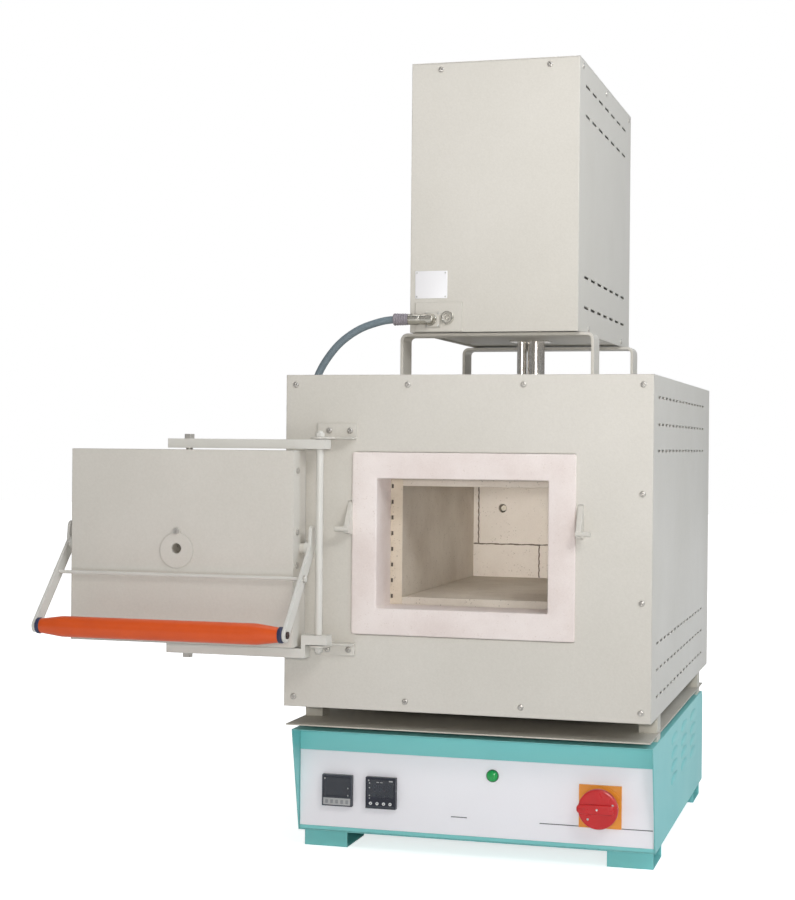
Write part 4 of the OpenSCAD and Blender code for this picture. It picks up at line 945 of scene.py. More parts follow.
FRAME_BRICK = Refractory(
    "Pale mouth refractory", "pale_refractory", srgb(233, 223, 219), srgb(221, 208, 203),
    bloom_tone=srgb(240, 233, 230), pore_tone=srgb(212, 198, 190), relief=0.25)
PLUG_FIBRE = Refractory(
    "Moulded plug fibre", "plug_fibre", srgb(226, 222, 212), srgb(208, 200, 186),
    pore_scale=180.0, grain_scale=420.0, relief=0.7)
CHAMBER_EDGE = Refractory(
    "Heating plate edge", "chamber_brick", srgb(220, 208, 190), srgb(206, 192, 172),
    bloom_tone=srgb(230, 222, 208), pore_tone=srgb(150, 138, 122), relief=0.4)
MORTAR = Refractory(
    "Dark joint mortar", "chamber_brick", srgb(126, 112, 98), srgb(104, 92, 80),
    bloom_tone=srgb(150, 138, 124), relief=0.8)
WALL_BRICK = Refractory(
    "Cut back wall brick", "chamber_brick", srgb(228, 219, 209), srgb(218, 208, 197),
    bloom_tone=srgb(234, 228, 219), pore_tone=srgb(160, 148, 134), relief=0.5)
CHAMBER_BRICK = Refractory(
    "Chamber brick", "chamber_brick", srgb(218, 210, 199), srgb(200, 190, 177),
    bloom_tone=srgb(226, 220, 208), relief=0.6)
FIBRE_BOARD = Refractory(
    "Insulation board", "insulation_fibre", srgb(232, 230, 222), srgb(220, 216, 206))
PROBE = Refractory(
    "Probe ceramic", "probe_ceramic", srgb(226, 218, 200), srgb(206, 196, 178), relief=0.2)
WIRE = BareMetal(
    "Oxidised heating wire", "heating_wire", srgb(120, 112, 104), srgb(86, 80, 74), rough=0.6,
    metallic=0.7, edge_tone=srgb(150, 142, 132))
NICKEL = BareMetal(
    "Nickel plated plug", "plug_nickel", srgb(212, 208, 198), srgb(188, 184, 174), rough=0.22)
SHEATH = Plastic(
    "Grey cable sheath", "cable_sheath", srgb(120, 134, 142), srgb(106, 120, 128), rough=0.48)
BOOT = Plastic(
    "Plug boot rubber", "cable_sheath", srgb(148, 142, 148), srgb(132, 126, 134), rough=0.6)
GLAND = Plastic(
    "Gland nylon", "gland_nylon", srgb(150, 152, 154), srgb(134, 136, 138), rough=0.5)
HOUSING = Plastic(
    "Dark controller housing", "controller_black", srgb(62, 66, 74), srgb(54, 58, 66),
    rough=0.42)
BEZEL = Plastic(
    "Slate controller bezel", "controller_black", srgb(64, 68, 80), srgb(56, 60, 72), rough=0.34,
    edge_tone=srgb(140, 144, 156), edge_amount=0.4)
FASCIA = Plastic(
    "Black controller fascia", "controller_black", srgb(38, 40, 54), srgb(32, 34, 46),
    rough=0.36)
SCREEN = Plastic(
    "Dark display window", "display_dark", srgb(40, 45, 54), srgb(33, 38, 47), rough=0.14,
    grain_strength=0.02, coat=0.6, edge_amount=0.1)
KEYPAD = Plastic(
    "Grey key strip", "keypad_grey", srgb(184, 184, 184), srgb(170, 170, 172), rough=0.5)
KEY_WHITE = Plastic(
    "White key cap", "key_white", srgb(232, 232, 232), srgb(218, 218, 218), rough=0.4)
DIGIT = Plastic(
    "Unlit display segment", "keypad_grey", srgb(76, 80, 92), srgb(66, 70, 82), rough=0.4,
    edge_amount=0.0)
LAMP = Plastic(
    "Green lamp lens", "lamp_green", srgb(6, 168, 78), srgb(4, 150, 68), rough=0.24, coat=0.4,
    grain_strength=0.05, edge_tone=srgb(60, 200, 120))
LAMP_RING = Plastic(
    "Dark green lamp ring", "lamp_green", srgb(18, 108, 62), srgb(14, 92, 52), rough=0.34)
ORANGE_PLATE = Plastic(
    "Yellow-orange switch plate", "plate_orange", srgb(240, 156, 46), srgb(232, 144, 40),
    rough=0.34, coat=0.3, edge_tone=srgb(255, 205, 120))
KNOB = Plastic(
    "Red switch knob", "knob_red", srgb(206, 22, 26), srgb(190, 16, 20), rough=0.28, coat=0.3,
    edge_tone=srgb(235, 110, 105))
BLOCK = Plastic(
    "Component housing", "power_block", srgb(90, 94, 98), srgb(76, 80, 84), rough=0.5)
GRIP = Plastic(
    "Orange grip", "grip_orange", srgb(220, 84, 10), srgb(208, 76, 8), rough=0.36, coat=0.2,
    edge_tone=srgb(240, 140, 90))
FERRULE = Plastic(
    "Dark blue ferrule", "grip_orange", srgb(46, 52, 84), srgb(38, 42, 70), rough=0.35)


def dress(finish: Finish, *nodes: str) -> None:
    """Gives nodes of the frame their finish.

    Args:
        finish: for all of them.
        nodes: their names.
    """
    material = finish.material()
    for name in nodes:
        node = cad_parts[name]
        if not node.material_slots:
            node.data.materials.append(material)
        for slot in node.material_slots:
            slot.link = "OBJECT"
            slot.material = material


def islands(node: str) -> list[tuple[Vector, Vector]]:
    """Finds the loose solids of a node.

    Args:
        node: its name.

    Returns:
        The lowest and highest corner of each, in the frame.
    """
    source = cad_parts[node]
    mesh, place = source.data, source.matrix_world
    owner: dict[int, int] = {}
    spots: dict[tuple[float, ...], int] = {}

    def root(item: int) -> int:
        """Follows the links from a vertex to the one that stands for its solid."""
        while owner[item] != item:
            owner[item] = owner[owner[item]]
            item = owner[item]
        return item

    for vert in mesh.vertices:
        key = tuple(round(part, 5) for part in vert.co)
        owner[vert.index] = spots.setdefault(key, vert.index)
        owner[spots[key]] = owner.get(spots[key], spots[key])
    for edge in mesh.edges:
        one, two = root(edge.vertices[0]), root(edge.vertices[1])
        owner[max(one, two)] = min(one, two)
    groups: dict[int, list[Vector]] = {}
    for vert in mesh.vertices:
        groups.setdefault(root(vert.index), []).append(place @ vert.co)
    return [(Vector(min(point[i] for point in points) for i in range(3)),
             Vector(max(point[i] for point in points) for i in range(3)))
            for points in groups.values()]


# Sub-assemblies


@dataclass(frozen=True)
class SoftBox:
    """A square light.

    Its size is that of its side. It fans out over its spread, in degrees. The camera sees it only
    if seen says so.
    """

    name: str
    spot: Point
    size: float
    watts: float
    tint: Point = (1.0, 1.0, 1.0)
    aim: Point = (0.0, 0.0, 0.6)
    spread: float = 180.0
    seen: bool = True

    def hang(self) -> bpy.types.Object:
        """Hangs the light and gives its object."""
        data = bpy.data.lights.new(self.name, "AREA")
        data.size = self.size
        data.energy = self.watts
        data.color = self.tint
        data.spread = math.radians(self.spread)
        made = bpy.data.objects.new(self.name, data)
        made.location = self.spot
        way = Vector(self.aim) - Vector(self.spot)
        made.rotation_euler = way.to_track_quat("-Z", "Y").to_euler()
        made.visible_camera = self.seen
        bpy.context.scene.collection.objects.link(made)
        return made


WARM, COOL, PLAIN = (1.0, 0.97, 0.935), (0.80, 0.89, 1.0), (1.0, 0.99, 0.97)
LIGHTS = (
    SoftBox("Key soft box", (-1.6, -3.4, 2.6), 2.2, 4.7, WARM),
    SoftBox("Side soft box", (2.4, -0.6, 2.4), 1.8, 31.0, COOL),
    SoftBox("High soft box", (1.3, -1.9, 1.9), 0.6, 4.6, PLAIN, (0.05, -0.1, 1.15), 80.0),
    SoftBox("Top soft box", (0.2, 0.4, 4.0), 3.0, 40.0),
    SoftBox("Flash", (0.60, -2.90, 0.72), 0.12, 18.0, WARM),
    SoftBox("Mouth fill", (0.0, -0.345, 0.482), 0.13, 0.13, PLAIN, (0.0, 0.2, 0.482), 64.0, False))


@dataclass
class StudioSet:
    """Camera, soft light and pale floor. The floor's glows are start, end and both amounts."""

    eye: Point = (0.62297, -2.93078, 0.62876)
    yaw: float = -0.27739
    pitch: float = -0.00256
    roll: float = 0.00896
    lens: float = 70.76
    sensor: float = 36.0
    sky_tone: Tone = (0.97, 0.985, 1.0, 1.0)
    sky_light: float = 0.255
    floor_half: float = 14.0
    floor_glow: Tone = (0.9, 4.5, 0.03, 0.5)
    floor_seen_glow: Tone = (0.4, 1.6, 0.66, 0.78)

    def camera(self) -> None:
        """Sets up the camera at the photograph's viewing angle."""
        flat = math.cos(self.pitch)
        ahead = Vector((math.sin(self.yaw) * flat, math.cos(self.yaw) * flat, math.sin(self.pitch)))
        right = Vector((math.cos(self.yaw), -math.sin(self.yaw), 0.0))
        up = right.cross(ahead)
        tilted = right * math.cos(self.roll) + up * math.sin(self.roll)
        upright = up * math.cos(self.roll) - right * math.sin(self.roll)
        data = bpy.data.cameras.new("Camera")
        data.lens = self.lens
        data.sensor_width = self.sensor
        data.clip_end = 100.0
        camera = bpy.data.objects.new("Camera", data)
        turned = Matrix((tilted, upright, -ahead)).transposed().to_4x4()
        camera.matrix_world = Matrix.Translation(self.eye) @ turned
        bpy.context.scene.collection.objects.link(camera)
        bpy.context.scene.camera = camera

    def sky(self) -> None:
        """Surrounds the furnace with white."""
        world = bpy.data.worlds.new("Studio white")
        world.use_nodes = True
        world.node_tree.nodes.clear()
        tree = Tree(world.node_tree)
        light = tree.node("ShaderNodeBackground", {"Color": self.sky_tone,
                                                   "Strength": self.sky_light})
        seen = tree.node("ShaderNodeBackground", {"Color": (1.0, 1.0, 1.0, 1.0), "Strength": 1.0})
        ray = tree.node("ShaderNodeLightPath").outputs["Is Camera Ray"]
        mixed = tree.node("ShaderNodeMixShader", {0: ray, 1: light.outputs[0], 2: seen.outputs[0]})
        tree.node("ShaderNodeOutputWorld", {"Surface": mixed.outputs[0]})
        bpy.context.scene.world = world

    def floor(self) -> bpy.types.Object:
        """Lays the pale floor."""
        mesh = bpy.data.meshes.new("Studio floor")
        half = self.floor_half
        mesh.from_pydata([(-half, -half, 0), (half, -half, 0), (half, half, 0), (-half, half, 0)],
                         [], [(0, 1, 2, 3)])
        floor = bpy.data.objects.new("Studio floor", mesh)
        bpy.context.scene.collection.objects.link(floor)
        paper = bpy.data.materials.new("Studio paper")
        paper.use_nodes = True
        tree = Tree(paper.node_tree)
        shader = paper.node_tree.nodes["Principled BSDF"]
        tones = UnevenTone.place(tree, {
            "Tone": (0.93, 0.93, 0.93, 1), "Second Tone": (0.91, 0.91, 0.91, 1),
            "Patch Scale": 0.8, "Grain Scale": 300.0, "Grain Amount": 0.01})
        tree.feed(shader.inputs["Base Color"], tones.outputs["Color"])
        away = tree.node("ShaderNodeVectorMath", {0: tree.here()},
                         operation="LENGTH").outputs["Value"]
        seen = tree.node("ShaderNodeLightPath").outputs["Is Camera Ray"]
        glow = tree.math("ADD", tree.spread(away, *self.floor_glow),
                         tree.math("MULTIPLY", seen, tree.spread(away, *self.floor_seen_glow)))
        tree.feed(shader.inputs["Emission Color"], tree.blend(glow, (0, 0, 0, 1), (1, 1, 1, 1)))
        shader.inputs["Emission Strength"].default_value = 1.0
        shader.inputs["Roughness"].default_value = 0.9
        shader.inputs["Specular IOR Level"].default_value = 0.1
        mesh.materials.append(paper)
        return floor

    def build(self) -> list[bpy.types.Object]:
        """Sets up the studio and gives its lights and floor."""
        bpy.context.scene.view_settings.view_transform = "Standard"
        self.camera()
        self.sky()
        return [light.hang() for light in LIGHTS] + [self.floor()]


@dataclass
class TowerCable:
    """The cable from the gland in the base up to the angled plug on the tower."""

    diameter: float = 0.012
    steps: int = 4
    nose: Point = (-0.100, -0.203, 0.830)
    barrel_y: float = -0.2125
    route: tuple[Point, ...] = (
        (-0.301, -0.014, 0.105), (-0.320, -0.014, 0.107), (-0.338, -0.014, 0.118),
        (-0.352, -0.020, 0.148), (-0.355, -0.034, 0.185), (-0.354, -0.054, 0.230),
        (-0.350, -0.075, 0.280), (-0.345, -0.096, 0.330), (-0.339, -0.117, 0.380),
        (-0.333, -0.138, 0.430), (-0.327, -0.157, 0.480), (-0.321, -0.174, 0.530),
        (-0.316, -0.188, 0.580), (-0.311, -0.198, 0.628), (-0.305, -0.205, 0.672),
        (-0.297, -0.209, 0.712), (-0.284, -0.211, 0.746), (-0.266, -0.212, 0.774),
        (-0.244, -0.2125, 0.797), (-0.214, -0.2125, 0.816), (-0.180, -0.2125, 0.827),
        (-0.157, -0.2125, 0.830))

    def path(self) -> list[Vector]:
        """Gives the smooth path through the route's points."""
        spots = [Vector(point) for point in self.route]
        smooth = []
        for index in range(len(spots) - 1):
            before, here = spots[max(index - 1, 0)], spots[index]
            there, after = spots[index + 1], spots[min(index + 2, len(spots) - 1)]
            for step in range(self.steps):
                part = step / self.steps
                smooth.append(0.5 * (2 * here + (there - before) * part
                                     + (2 * before - 5 * here + 4 * there - after) * part ** 2
                                     + (3 * here - before - 3 * there + after) * part ** 3))
        return smooth + [spots[-1]]

    def plug(self) -> list[bpy.types.Object]:
        """Makes the angled plug, with its coupling ring, knurled barrel and ribbed boot."""
        nose = Place(self.nose, Side.FRONT)
        barrel = Place((self.nose[0], self.barrel_y, self.nose[2]), Side.LEFT)
        metal = Shape()
        metal.lathe(nose, [(0.0, 0.0), (0.0084, 0.0), (0.0092, 0.0008), (0.0092, 0.0052),
                           (0.0086, 0.0060), (0.0086, 0.0120), (0.0080, 0.0150), (0.0062, 0.0174),
                           (0.0, 0.0180)], 48)
        metal.lathe(nose, [(0.0094, 0.0010), (0.0096, 0.0016), (0.0096, 0.0044), (0.0094, 0.0050)],
                    60, 30, 0.02, range(1, 3))
        metal.lathe(barrel, [(0.0, -0.0076), (0.0056, -0.0072), (0.0080, -0.0046), (0.0086, 0.0),
                             (0.0086, 0.0130), (0.0080, 0.0138), (0.0080, 0.0160), (0.0086, 0.0168),
                             (0.0086, 0.0340), (0.0078, 0.0350), (0.0, 0.0350)], 48)
        metal.lathe(barrel, [(0.0084, 0.0190), (0.00875, 0.0196), (0.00875, 0.0300),
                             (0.0084, 0.0306)], 72, 24, 0.014, range(1, 3))
        shell = metal.piece("tower_plug_shell", "root", NICKEL, ["tower_plug"])
        ribs = [(0.0, 0.0350), (0.0088, 0.0350), (0.0092, 0.0362)]
        for rib in range(5):
            start, radius = 0.0372 + rib * 0.0042, 0.0094 + rib * 0.0001
            valley = radius - 0.0009
            ribs += [(valley, start), (valley, start + 0.0012), (radius, start + 0.0018),
                     (radius, start + 0.0034)]
        ribs += [(0.0090, 0.0586), (0.0064, 0.0590), (0.0, 0.0590)]
        boot = Shape().lathe(barrel, ribs, 40).piece("tower_plug_boot", "root", BOOT)
        return [shell, boot]

    def build(self) -> list[bpy.types.Object]:
        """Makes the cable and its plug."""
        path = self.path()
        cable = Shape().tube(path, [self.diameter / 2] * len(path), 24).piece(
            "tower_cable_sheath", "root", SHEATH, ["tower_cable"])
        plug = self.plug()
        return [cable, *plug]


@dataclass
class ControlBase:
    """The turquoise base with its panel of controls."""

    panel_face: float = -0.3104
    controller_face: float = -0.3194
    controller_z: float = 0.093
    controller_size: float = 0.0472
    left_x: float = -0.2135
    right_x: float = -0.143
    print_depth: float = 0.00012
    rule_height: float = 0.0014
    lamp: Point = (0.0315, -0.3104, 0.129)
    switch: Point = (0.1965, -0.3134, 0.093)
    side_x: float = 0.279
    louvre_y: tuple[float, ...] = (-0.085, 0.045, 0.172)
    louvre_z: tuple[float, ...] = (0.1000, 0.1205, 0.1410, 0.1640)
    louvre_half: Pair = (0.0440, 0.0098)
    louvre_rise: float = 0.0031
    louvre_sunk: float = 0.0002

    def cover(self) -> bpy.types.Object:
        """Presses smooth louvres into both sides of the folded cover."""
        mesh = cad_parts["base_cover"].data.copy()
        for vert in mesh.vertices:
            if abs(vert.co.x) > self.side_x + self.louvre_sunk:
                vert.co.x = math.copysign(self.side_x, vert.co.x)
        shape = Shape().absorb(mesh)
        for side, x in ((Side.LEFT, -self.side_x), (Side.RIGHT, self.side_x)):
            for y in self.louvre_y:
                for z in self.louvre_z:
                    shape.scoop(Place((x, y, z), side), self.louvre_half, self.louvre_rise,
                                self.louvre_sunk)
        return shape.piece("folded_cover", "root", TURQUOISE, ["base_cover"], angle=40.0)

    def rules(self) -> bpy.types.Object:
        """Draws the thin grey rule on the panel's film."""
        face = Place((0.0, self.panel_face, 0.0))
        shape = Shape()
        for left, right, low in ((-0.033, -0.0078, 0.0620), (0.1045, 0.1645, 0.0610),
                                 (0.2285, 0.2750, 0.0608)):
            shape.block(face, (left, low, 0.0), (right, low + self.rule_height, self.print_depth))
        return shape.piece("panel_rules", "root", RULE_GREY)

    def marked(self, face: Place, spots: Sequence[Tone], radius: float, high: float) -> Shape:
        """Puts small marks on a controller.

        Args:
            face: the controller's middle.
            spots: how far right and up each mark is, and its width and height.
            radius: of the marks' corners.
            high: how far they stand out.

        Returns:
            The shape with all marks.
        """
        shape = Shape()
        for right, up, wide, tall in spots:
            outline = rounded(wide, tall, radius, steps=2)
            shape.prism(face.shifted(right, up), outline, -0.0002, high)
        return shape

    def left_controller(self) -> list[bpy.types.Object]:
        """Details the controller with the flat key strip."""
        face = Place((self.left_x, self.controller_face, self.controller_z))
        size = self.controller_size
        rim = Shape().collar(face, rounded(size, size, 0.0035), rounded(0.0450, 0.0450, 0.0026),
                             -0.0005, 0.0008, 0.0005, 3)
        glass = Shape().collar(face.shifted(0, 0.0056), rounded(0.0428, 0.0312, 0.0014),
                               rounded(0.0330, 0.0262, 0.0010), -0.0003, 0.0007, 0.0003, 2)
        keys = Shape()
        for column in range(5):
            keys.prism(face.shifted(-0.0164 + column * 0.0082, -0.0170),
                       rounded(0.0044, 0.0058, 0.0009, steps=3), 0.0001, 0.0009, 0.0002)
        # the first mark, at the top left, is a small lens whose light grey tone paints its
        # highlight
        marks = self.marked(face, (
            (-0.0192, 0.0184, 0.0018, 0.0026), (0.0182, 0.0045, 0.0016, 0.0022),
            (0.0182, -0.0065, 0.0016, 0.0022)), 0.0005, 0.0010)
        return [rim.piece("left_controller_rim", "root", BEZEL),
                glass.piece("left_controller_glass", "root", SCREEN),
                keys.piece("left_controller_keys", "root", GLAND),
                marks.piece("left_controller_marks", "root", KEYPAD)]

    def digit(self, shape: Shape, place: Place, width: float, height: float, bar: float) -> None:
        """Adds the seven bars of one unlit figure.

        Args:
            shape: that takes the bars.
            place: the figure's middle.
            width, height: of the figure.
            bar: the thickness of a bar.
        """
        half, rise, tip = width / 2, height / 2, bar / 2
        gap = bar * 0.16
        reach = half - tip - gap
        flat = [(-reach, 0.0), (-reach + tip, -tip), (reach - tip, -tip), (reach, 0.0),
                (reach - tip, tip), (-reach + tip, tip)]
        for up in (-rise, 0.0, rise):
            shape.prism(place.shifted(0, up), flat, 0.0, self.print_depth)
        reach = rise / 2 - gap
        upright = [(0.0, reach), (-tip, reach - tip), (-tip, -reach + tip), (0.0, -reach),
                   (tip, -reach + tip), (tip, reach - tip)]
        for spot in place.corners(half, rise / 2):
            shape.prism(spot, upright, 0.0, self.print_depth)

    def right_controller(self) -> list[bpy.types.Object]:
        """Details the controller with the digits and round keys."""
        face = Place((self.right_x, self.controller_face, self.controller_z))
        size = self.controller_size
        rim = Shape().collar(face, rounded(size, size, 0.0022), rounded(0.0452, 0.0452, 0.0016),
                             -0.0005, 0.0007, 0.0004, 3)
        strip = Shape().prism(face.shifted(0.0, -0.0212), rounded(0.0440, 0.0030, 0.0008, steps=3),
                              -0.0002, 0.0004, 0.0002)
        marks = self.marked(face, (
            (-0.0190, 0.0192, 0.0022, 0.0022), (0.0165, 0.0190, 0.0062, 0.0020),
            (-0.0045, 0.0168, 0.0040, 0.0011), (0.0015, 0.0166, 0.0040, 0.0011)), 0.0004, 0.0003)
        for down in (0.0, 0.0072, 0.0190, 0.0232):
            marks.lathe(face.shifted(-0.0176, 0.0150 - down),
                        [(0.0, -0.0002), (0.0011, -0.0002), (0.0010, 0.0005), (0.0, 0.0006)], 16)
        figures = Shape()
        for start, pitch, up, *size in ((-0.0088, 0.0076, 0.0082, 0.0044, 0.0098, 0.0009),
                                        (-0.0066, 0.0060, -0.0052, 0.0030, 0.0062, 0.0006)):
            for column in range(4):
                self.digit(figures, face.shifted(start + column * pitch, up, 0.0004), *size)
        return [rim.piece("right_controller_rim", "root", FASCIA),
                strip.piece("right_controller_strip", "root", HOUSING),
                figures.piece("right_controller_figures", "root", DIGIT),
                marks.piece("right_controller_lights", "root", KEYPAD)]

    def key_marks(self) -> list[bpy.types.Object]:
        """Puts a small dark symbol on each round key."""
        made = []
        for word, body, symbol in (
                ("one", "first_key", ring_of(0.0009, 16)),
                ("two", "second_key", [(-0.0011, 0.0007), (0.0, -0.0010), (0.0011, 0.0007)]),
                ("three", "third_key", [(-0.0011, -0.0007), (0.0011, -0.0007), (0.0, 0.0010)]),
                ("four", "fourth_key", rounded(0.0022, 0.0009, 0.0003, steps=2))):
            low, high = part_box(f"key_{word}")
            spot = Place(((low[0] + high[0]) / 2, low[1], (low[2] + high[2]) / 2))
            mark = Shape().prism(spot, symbol, -0.0001, 0.0001)
            made.append(mark.piece(f"key_{word}_mark", body, FASCIA))
        return made

    def lamp_lens(self) -> list[bpy.types.Object]:
        """Makes the pilot lamp: a ring with a domed lens in it."""
        spot = Place(self.lamp)
        ring = Shape().lathe(spot, [(0.0, 0.0), (0.0096, 0.0), (0.0096, 0.0014), (0.0090, 0.0022),
                                    (0.0080, 0.0024), (0.0076, 0.0016), (0.0, 0.0016)], 56)
        lens = Shape().lathe(spot, [(0.0, 0.0010), (0.0082, 0.0012), (0.0082, 0.0030),
                                    (0.0074, 0.0042), (0.0054, 0.0052), (0.0028, 0.0058),
                                    (0.0, 0.0060)], 48)
        return [ring.piece("pilot_lamp_ring", "root", LAMP_RING, ["pilot_lamp"]),
                lens.piece("pilot_lamp_lens", "root", LAMP)]

    def main_switch(self) -> list[bpy.types.Object]:
        """Makes the low disc on the switch plate, and the red knob with light zinc pins that stand
        for its screw and holes and paint their glints.
        """
        plate = Place(self.switch)
        disc = Shape().lathe(plate, [(0.0, -0.0010), (0.0312, -0.0010), (0.0318, 0.0002),
                                     (0.0312, 0.0008), (0.0, 0.0008)], 72)
        knob = Shape().lathe(plate, [(0.0, 0.0006), (0.0225, 0.0006), (0.0225, 0.0110),
                                     (0.0286, 0.0125), (0.0298, 0.0142), (0.0298, 0.0208),
                                     (0.0292, 0.0220), (0.0278, 0.0226), (0.0262, 0.0227),
                                     (0.0120, 0.0222), (0.0, 0.0221)], 72)
        lower = [(-0.0316, -0.0022), (-0.0300, -0.0052), (-0.0262, -0.0072), (0.0190, -0.0076),
                 (0.0232, -0.0062), (0.0250, -0.0030)]
        upper = [(right, -up) for right, up in reversed(lower)]
        knob.prism(plate, lower + upper, 0.0150, 0.0250, 0.0019, 5)
        knob.block(plate, (-0.0306, -0.0009, 0.0240), (-0.0200, 0.0009, 0.0254), 0.0004)
        # light zinc pins at the knob's white spots: parts, and painted glints
        pins = Shape().lathe(plate.shifted(-0.0010, 0.0, 0.0247),
                             [(0.0, 0.0), (0.0017, 0.0), (0.0017, 0.0005), (0.0013, 0.0008),
                              (0.0, 0.0003)], 20)
        for right, up in ((0.0222, 0.0074), (0.0230, -0.0010), (-0.0148, -0.0150)):
            pins.lathe(plate.shifted(right, up, 0.0216),
                       [(0.0, 0.0), (0.0018, 0.0), (0.0018, 0.0010), (0.0012, 0.0015),
                        (0.0, 0.0016)], 20)
        return [disc.piece("switch_plate_ring", "root", ORANGE_PLATE),
                knob.piece("switch_knob_grip", "knob", KNOB, ["switch_knob"]),
                pins.piece("switch_knob_glint_pins", "knob", ZINC)]

    def build(self) -> list[bpy.types.Object]:
        """Dresses the base and makes its details."""
        dress(TURQUOISE, "base_front_panel", "base_chassis", "base_feet")
        dress(FILM, "panel_overlay")
        dress(SHIELD, "heat_shield")
        dress(SPACER, "spacers")
        dress(HOUSING, "left_controller")
        dress(FASCIA, "right_controller")
        dress(SCREEN, "display_windows")
        dress(KEYPAD, "left_keypad")
        dress(KEY_WHITE, "key_one", "key_two", "key_three", "key_four")
        dress(ORANGE_PLATE, "switch_plate")
        dress(BLOCK, "power_parts")
        dress(GLAND, "cable_glands")
        return [self.cover(), self.rules(), *self.left_controller(), *self.right_controller(),
                *self.key_marks(), *self.lamp_lens(), *self.main_switch()]


class Recess(Enum):
    """The driving recess of a screw: how many lobes, and how deep they swing."""

    CROSS = (4, 0.42)
    STAR = (6, 0.16)


SHANK = 0.0088  # length of a screw below its head


def pan_head(shape: Shape, place: Place, radius: float, height: float,
             recess: Recess = Recess.CROSS) -> None:
    """Adds a screw's head with its recess.

    Args:
        shape: that takes the head.
        place: its middle on the sheet.
        radius, height: of the head.
        recess: for the driver.
    """
    lobes, depth = recess.value
    pit = radius * 0.42
    profile = [(radius, -0.0001), (radius, height * 0.2), (radius * 0.93, height * 0.55),
               (radius * 0.76, height * 0.85), (pit, height), (pit * 0.86, height * 0.5),
               (0.0, height * 0.34)]
    shape.lathe(place, profile, 32, lobes, depth, range(4, 6))


def socket_head(shape: Shape, place: Place, radius: float, height: float, across: float) -> None:
    """Adds a cylindrical bolt head with a hexagon socket.

    Args:
        shape: that takes the head.
        place: its middle on the part below.
        radius, height: of the head.
        across: the socket's width across the flats.
    """
    floor = height * 0.36
    shape.collar(place, ring_of(radius, 36), hexagon(across), height * 0.35, height, radius * 0.08)
    shape.lathe(place, [(0.0, 0.0), (radius, 0.0), (radius, floor), (0.0, floor)], 36)


def hex_nut(shape: Shape, place: Place, across: float, height: float, bore: float) -> None:
    """Adds a hexagon nut with the end of its thread.

    Args:
        shape: that takes the nut.
        place: its middle on the part below.
        across: the width across the flats.
        height: of the nut.
        bore: the thread's radius.
    """
    shape.collar(place, hexagon(across), ring_of(bore, 36), 0.0, height, across * 0.04)
    shape.lathe(place, [(0.0, 0.0), (bore * 0.98, 0.0), (bore * 0.98, height * 1.15),
                        (bore * 0.8, height * 1.3), (0.0, height * 1.3)], 24)


def facing(low: Vector, high: Vector, middle: Vector) -> tuple[Place, float]:
    """Finds where a screw's head ends, and which way it faces.

    Args:
        low, high: corners of the screw.
        middle: of what it is screwed to.

    Returns:
        The place at the head's outer end, and the screw's diameter.
    """
    size = high - low
    usual = sorted(size)[1]
    axis = max(range(3), key=lambda part: abs(size[part] - usual))
    centre = (low + high) / 2
    outward = centre[axis] > middle[axis]
    side = ((Side.LEFT, Side.RIGHT), (Side.FRONT, Side.BACK), (Side.UNDER, Side.TOP))[axis][outward]
    centre[axis] = high[axis] if outward else low[axis]
    return Place(tuple(centre), side), usual


def screws(name: str, body: str, node: str, middle: Vector, recess: Recess) -> bpy.types.Object:
    """Makes a detailed screw in the place of each plain one of a node.

    Args:
        name: of the piece.
        body: that it rides on.
        node: with the plain screws.
        middle: of what they are screwed to.
        recess: for the driver.

    Returns:
        The piece with all screws.
    """
    shape = Shape()
    for low, high in islands(node):
        place, across = facing(low, high, middle)
        radius, height = across / 2, across * 0.28
        seat = place.shifted(0, 0, -height)
        pan_head(shape, seat, radius, height, recess)
        shape.lathe(seat, [(0.0, -SHANK), (radius * 0.5, 0.0002 - SHANK), (radius * 0.54, 0.0),
                           (0.0, 0.0)], 20)
    return shape.piece(name, body, SCREW, [node])


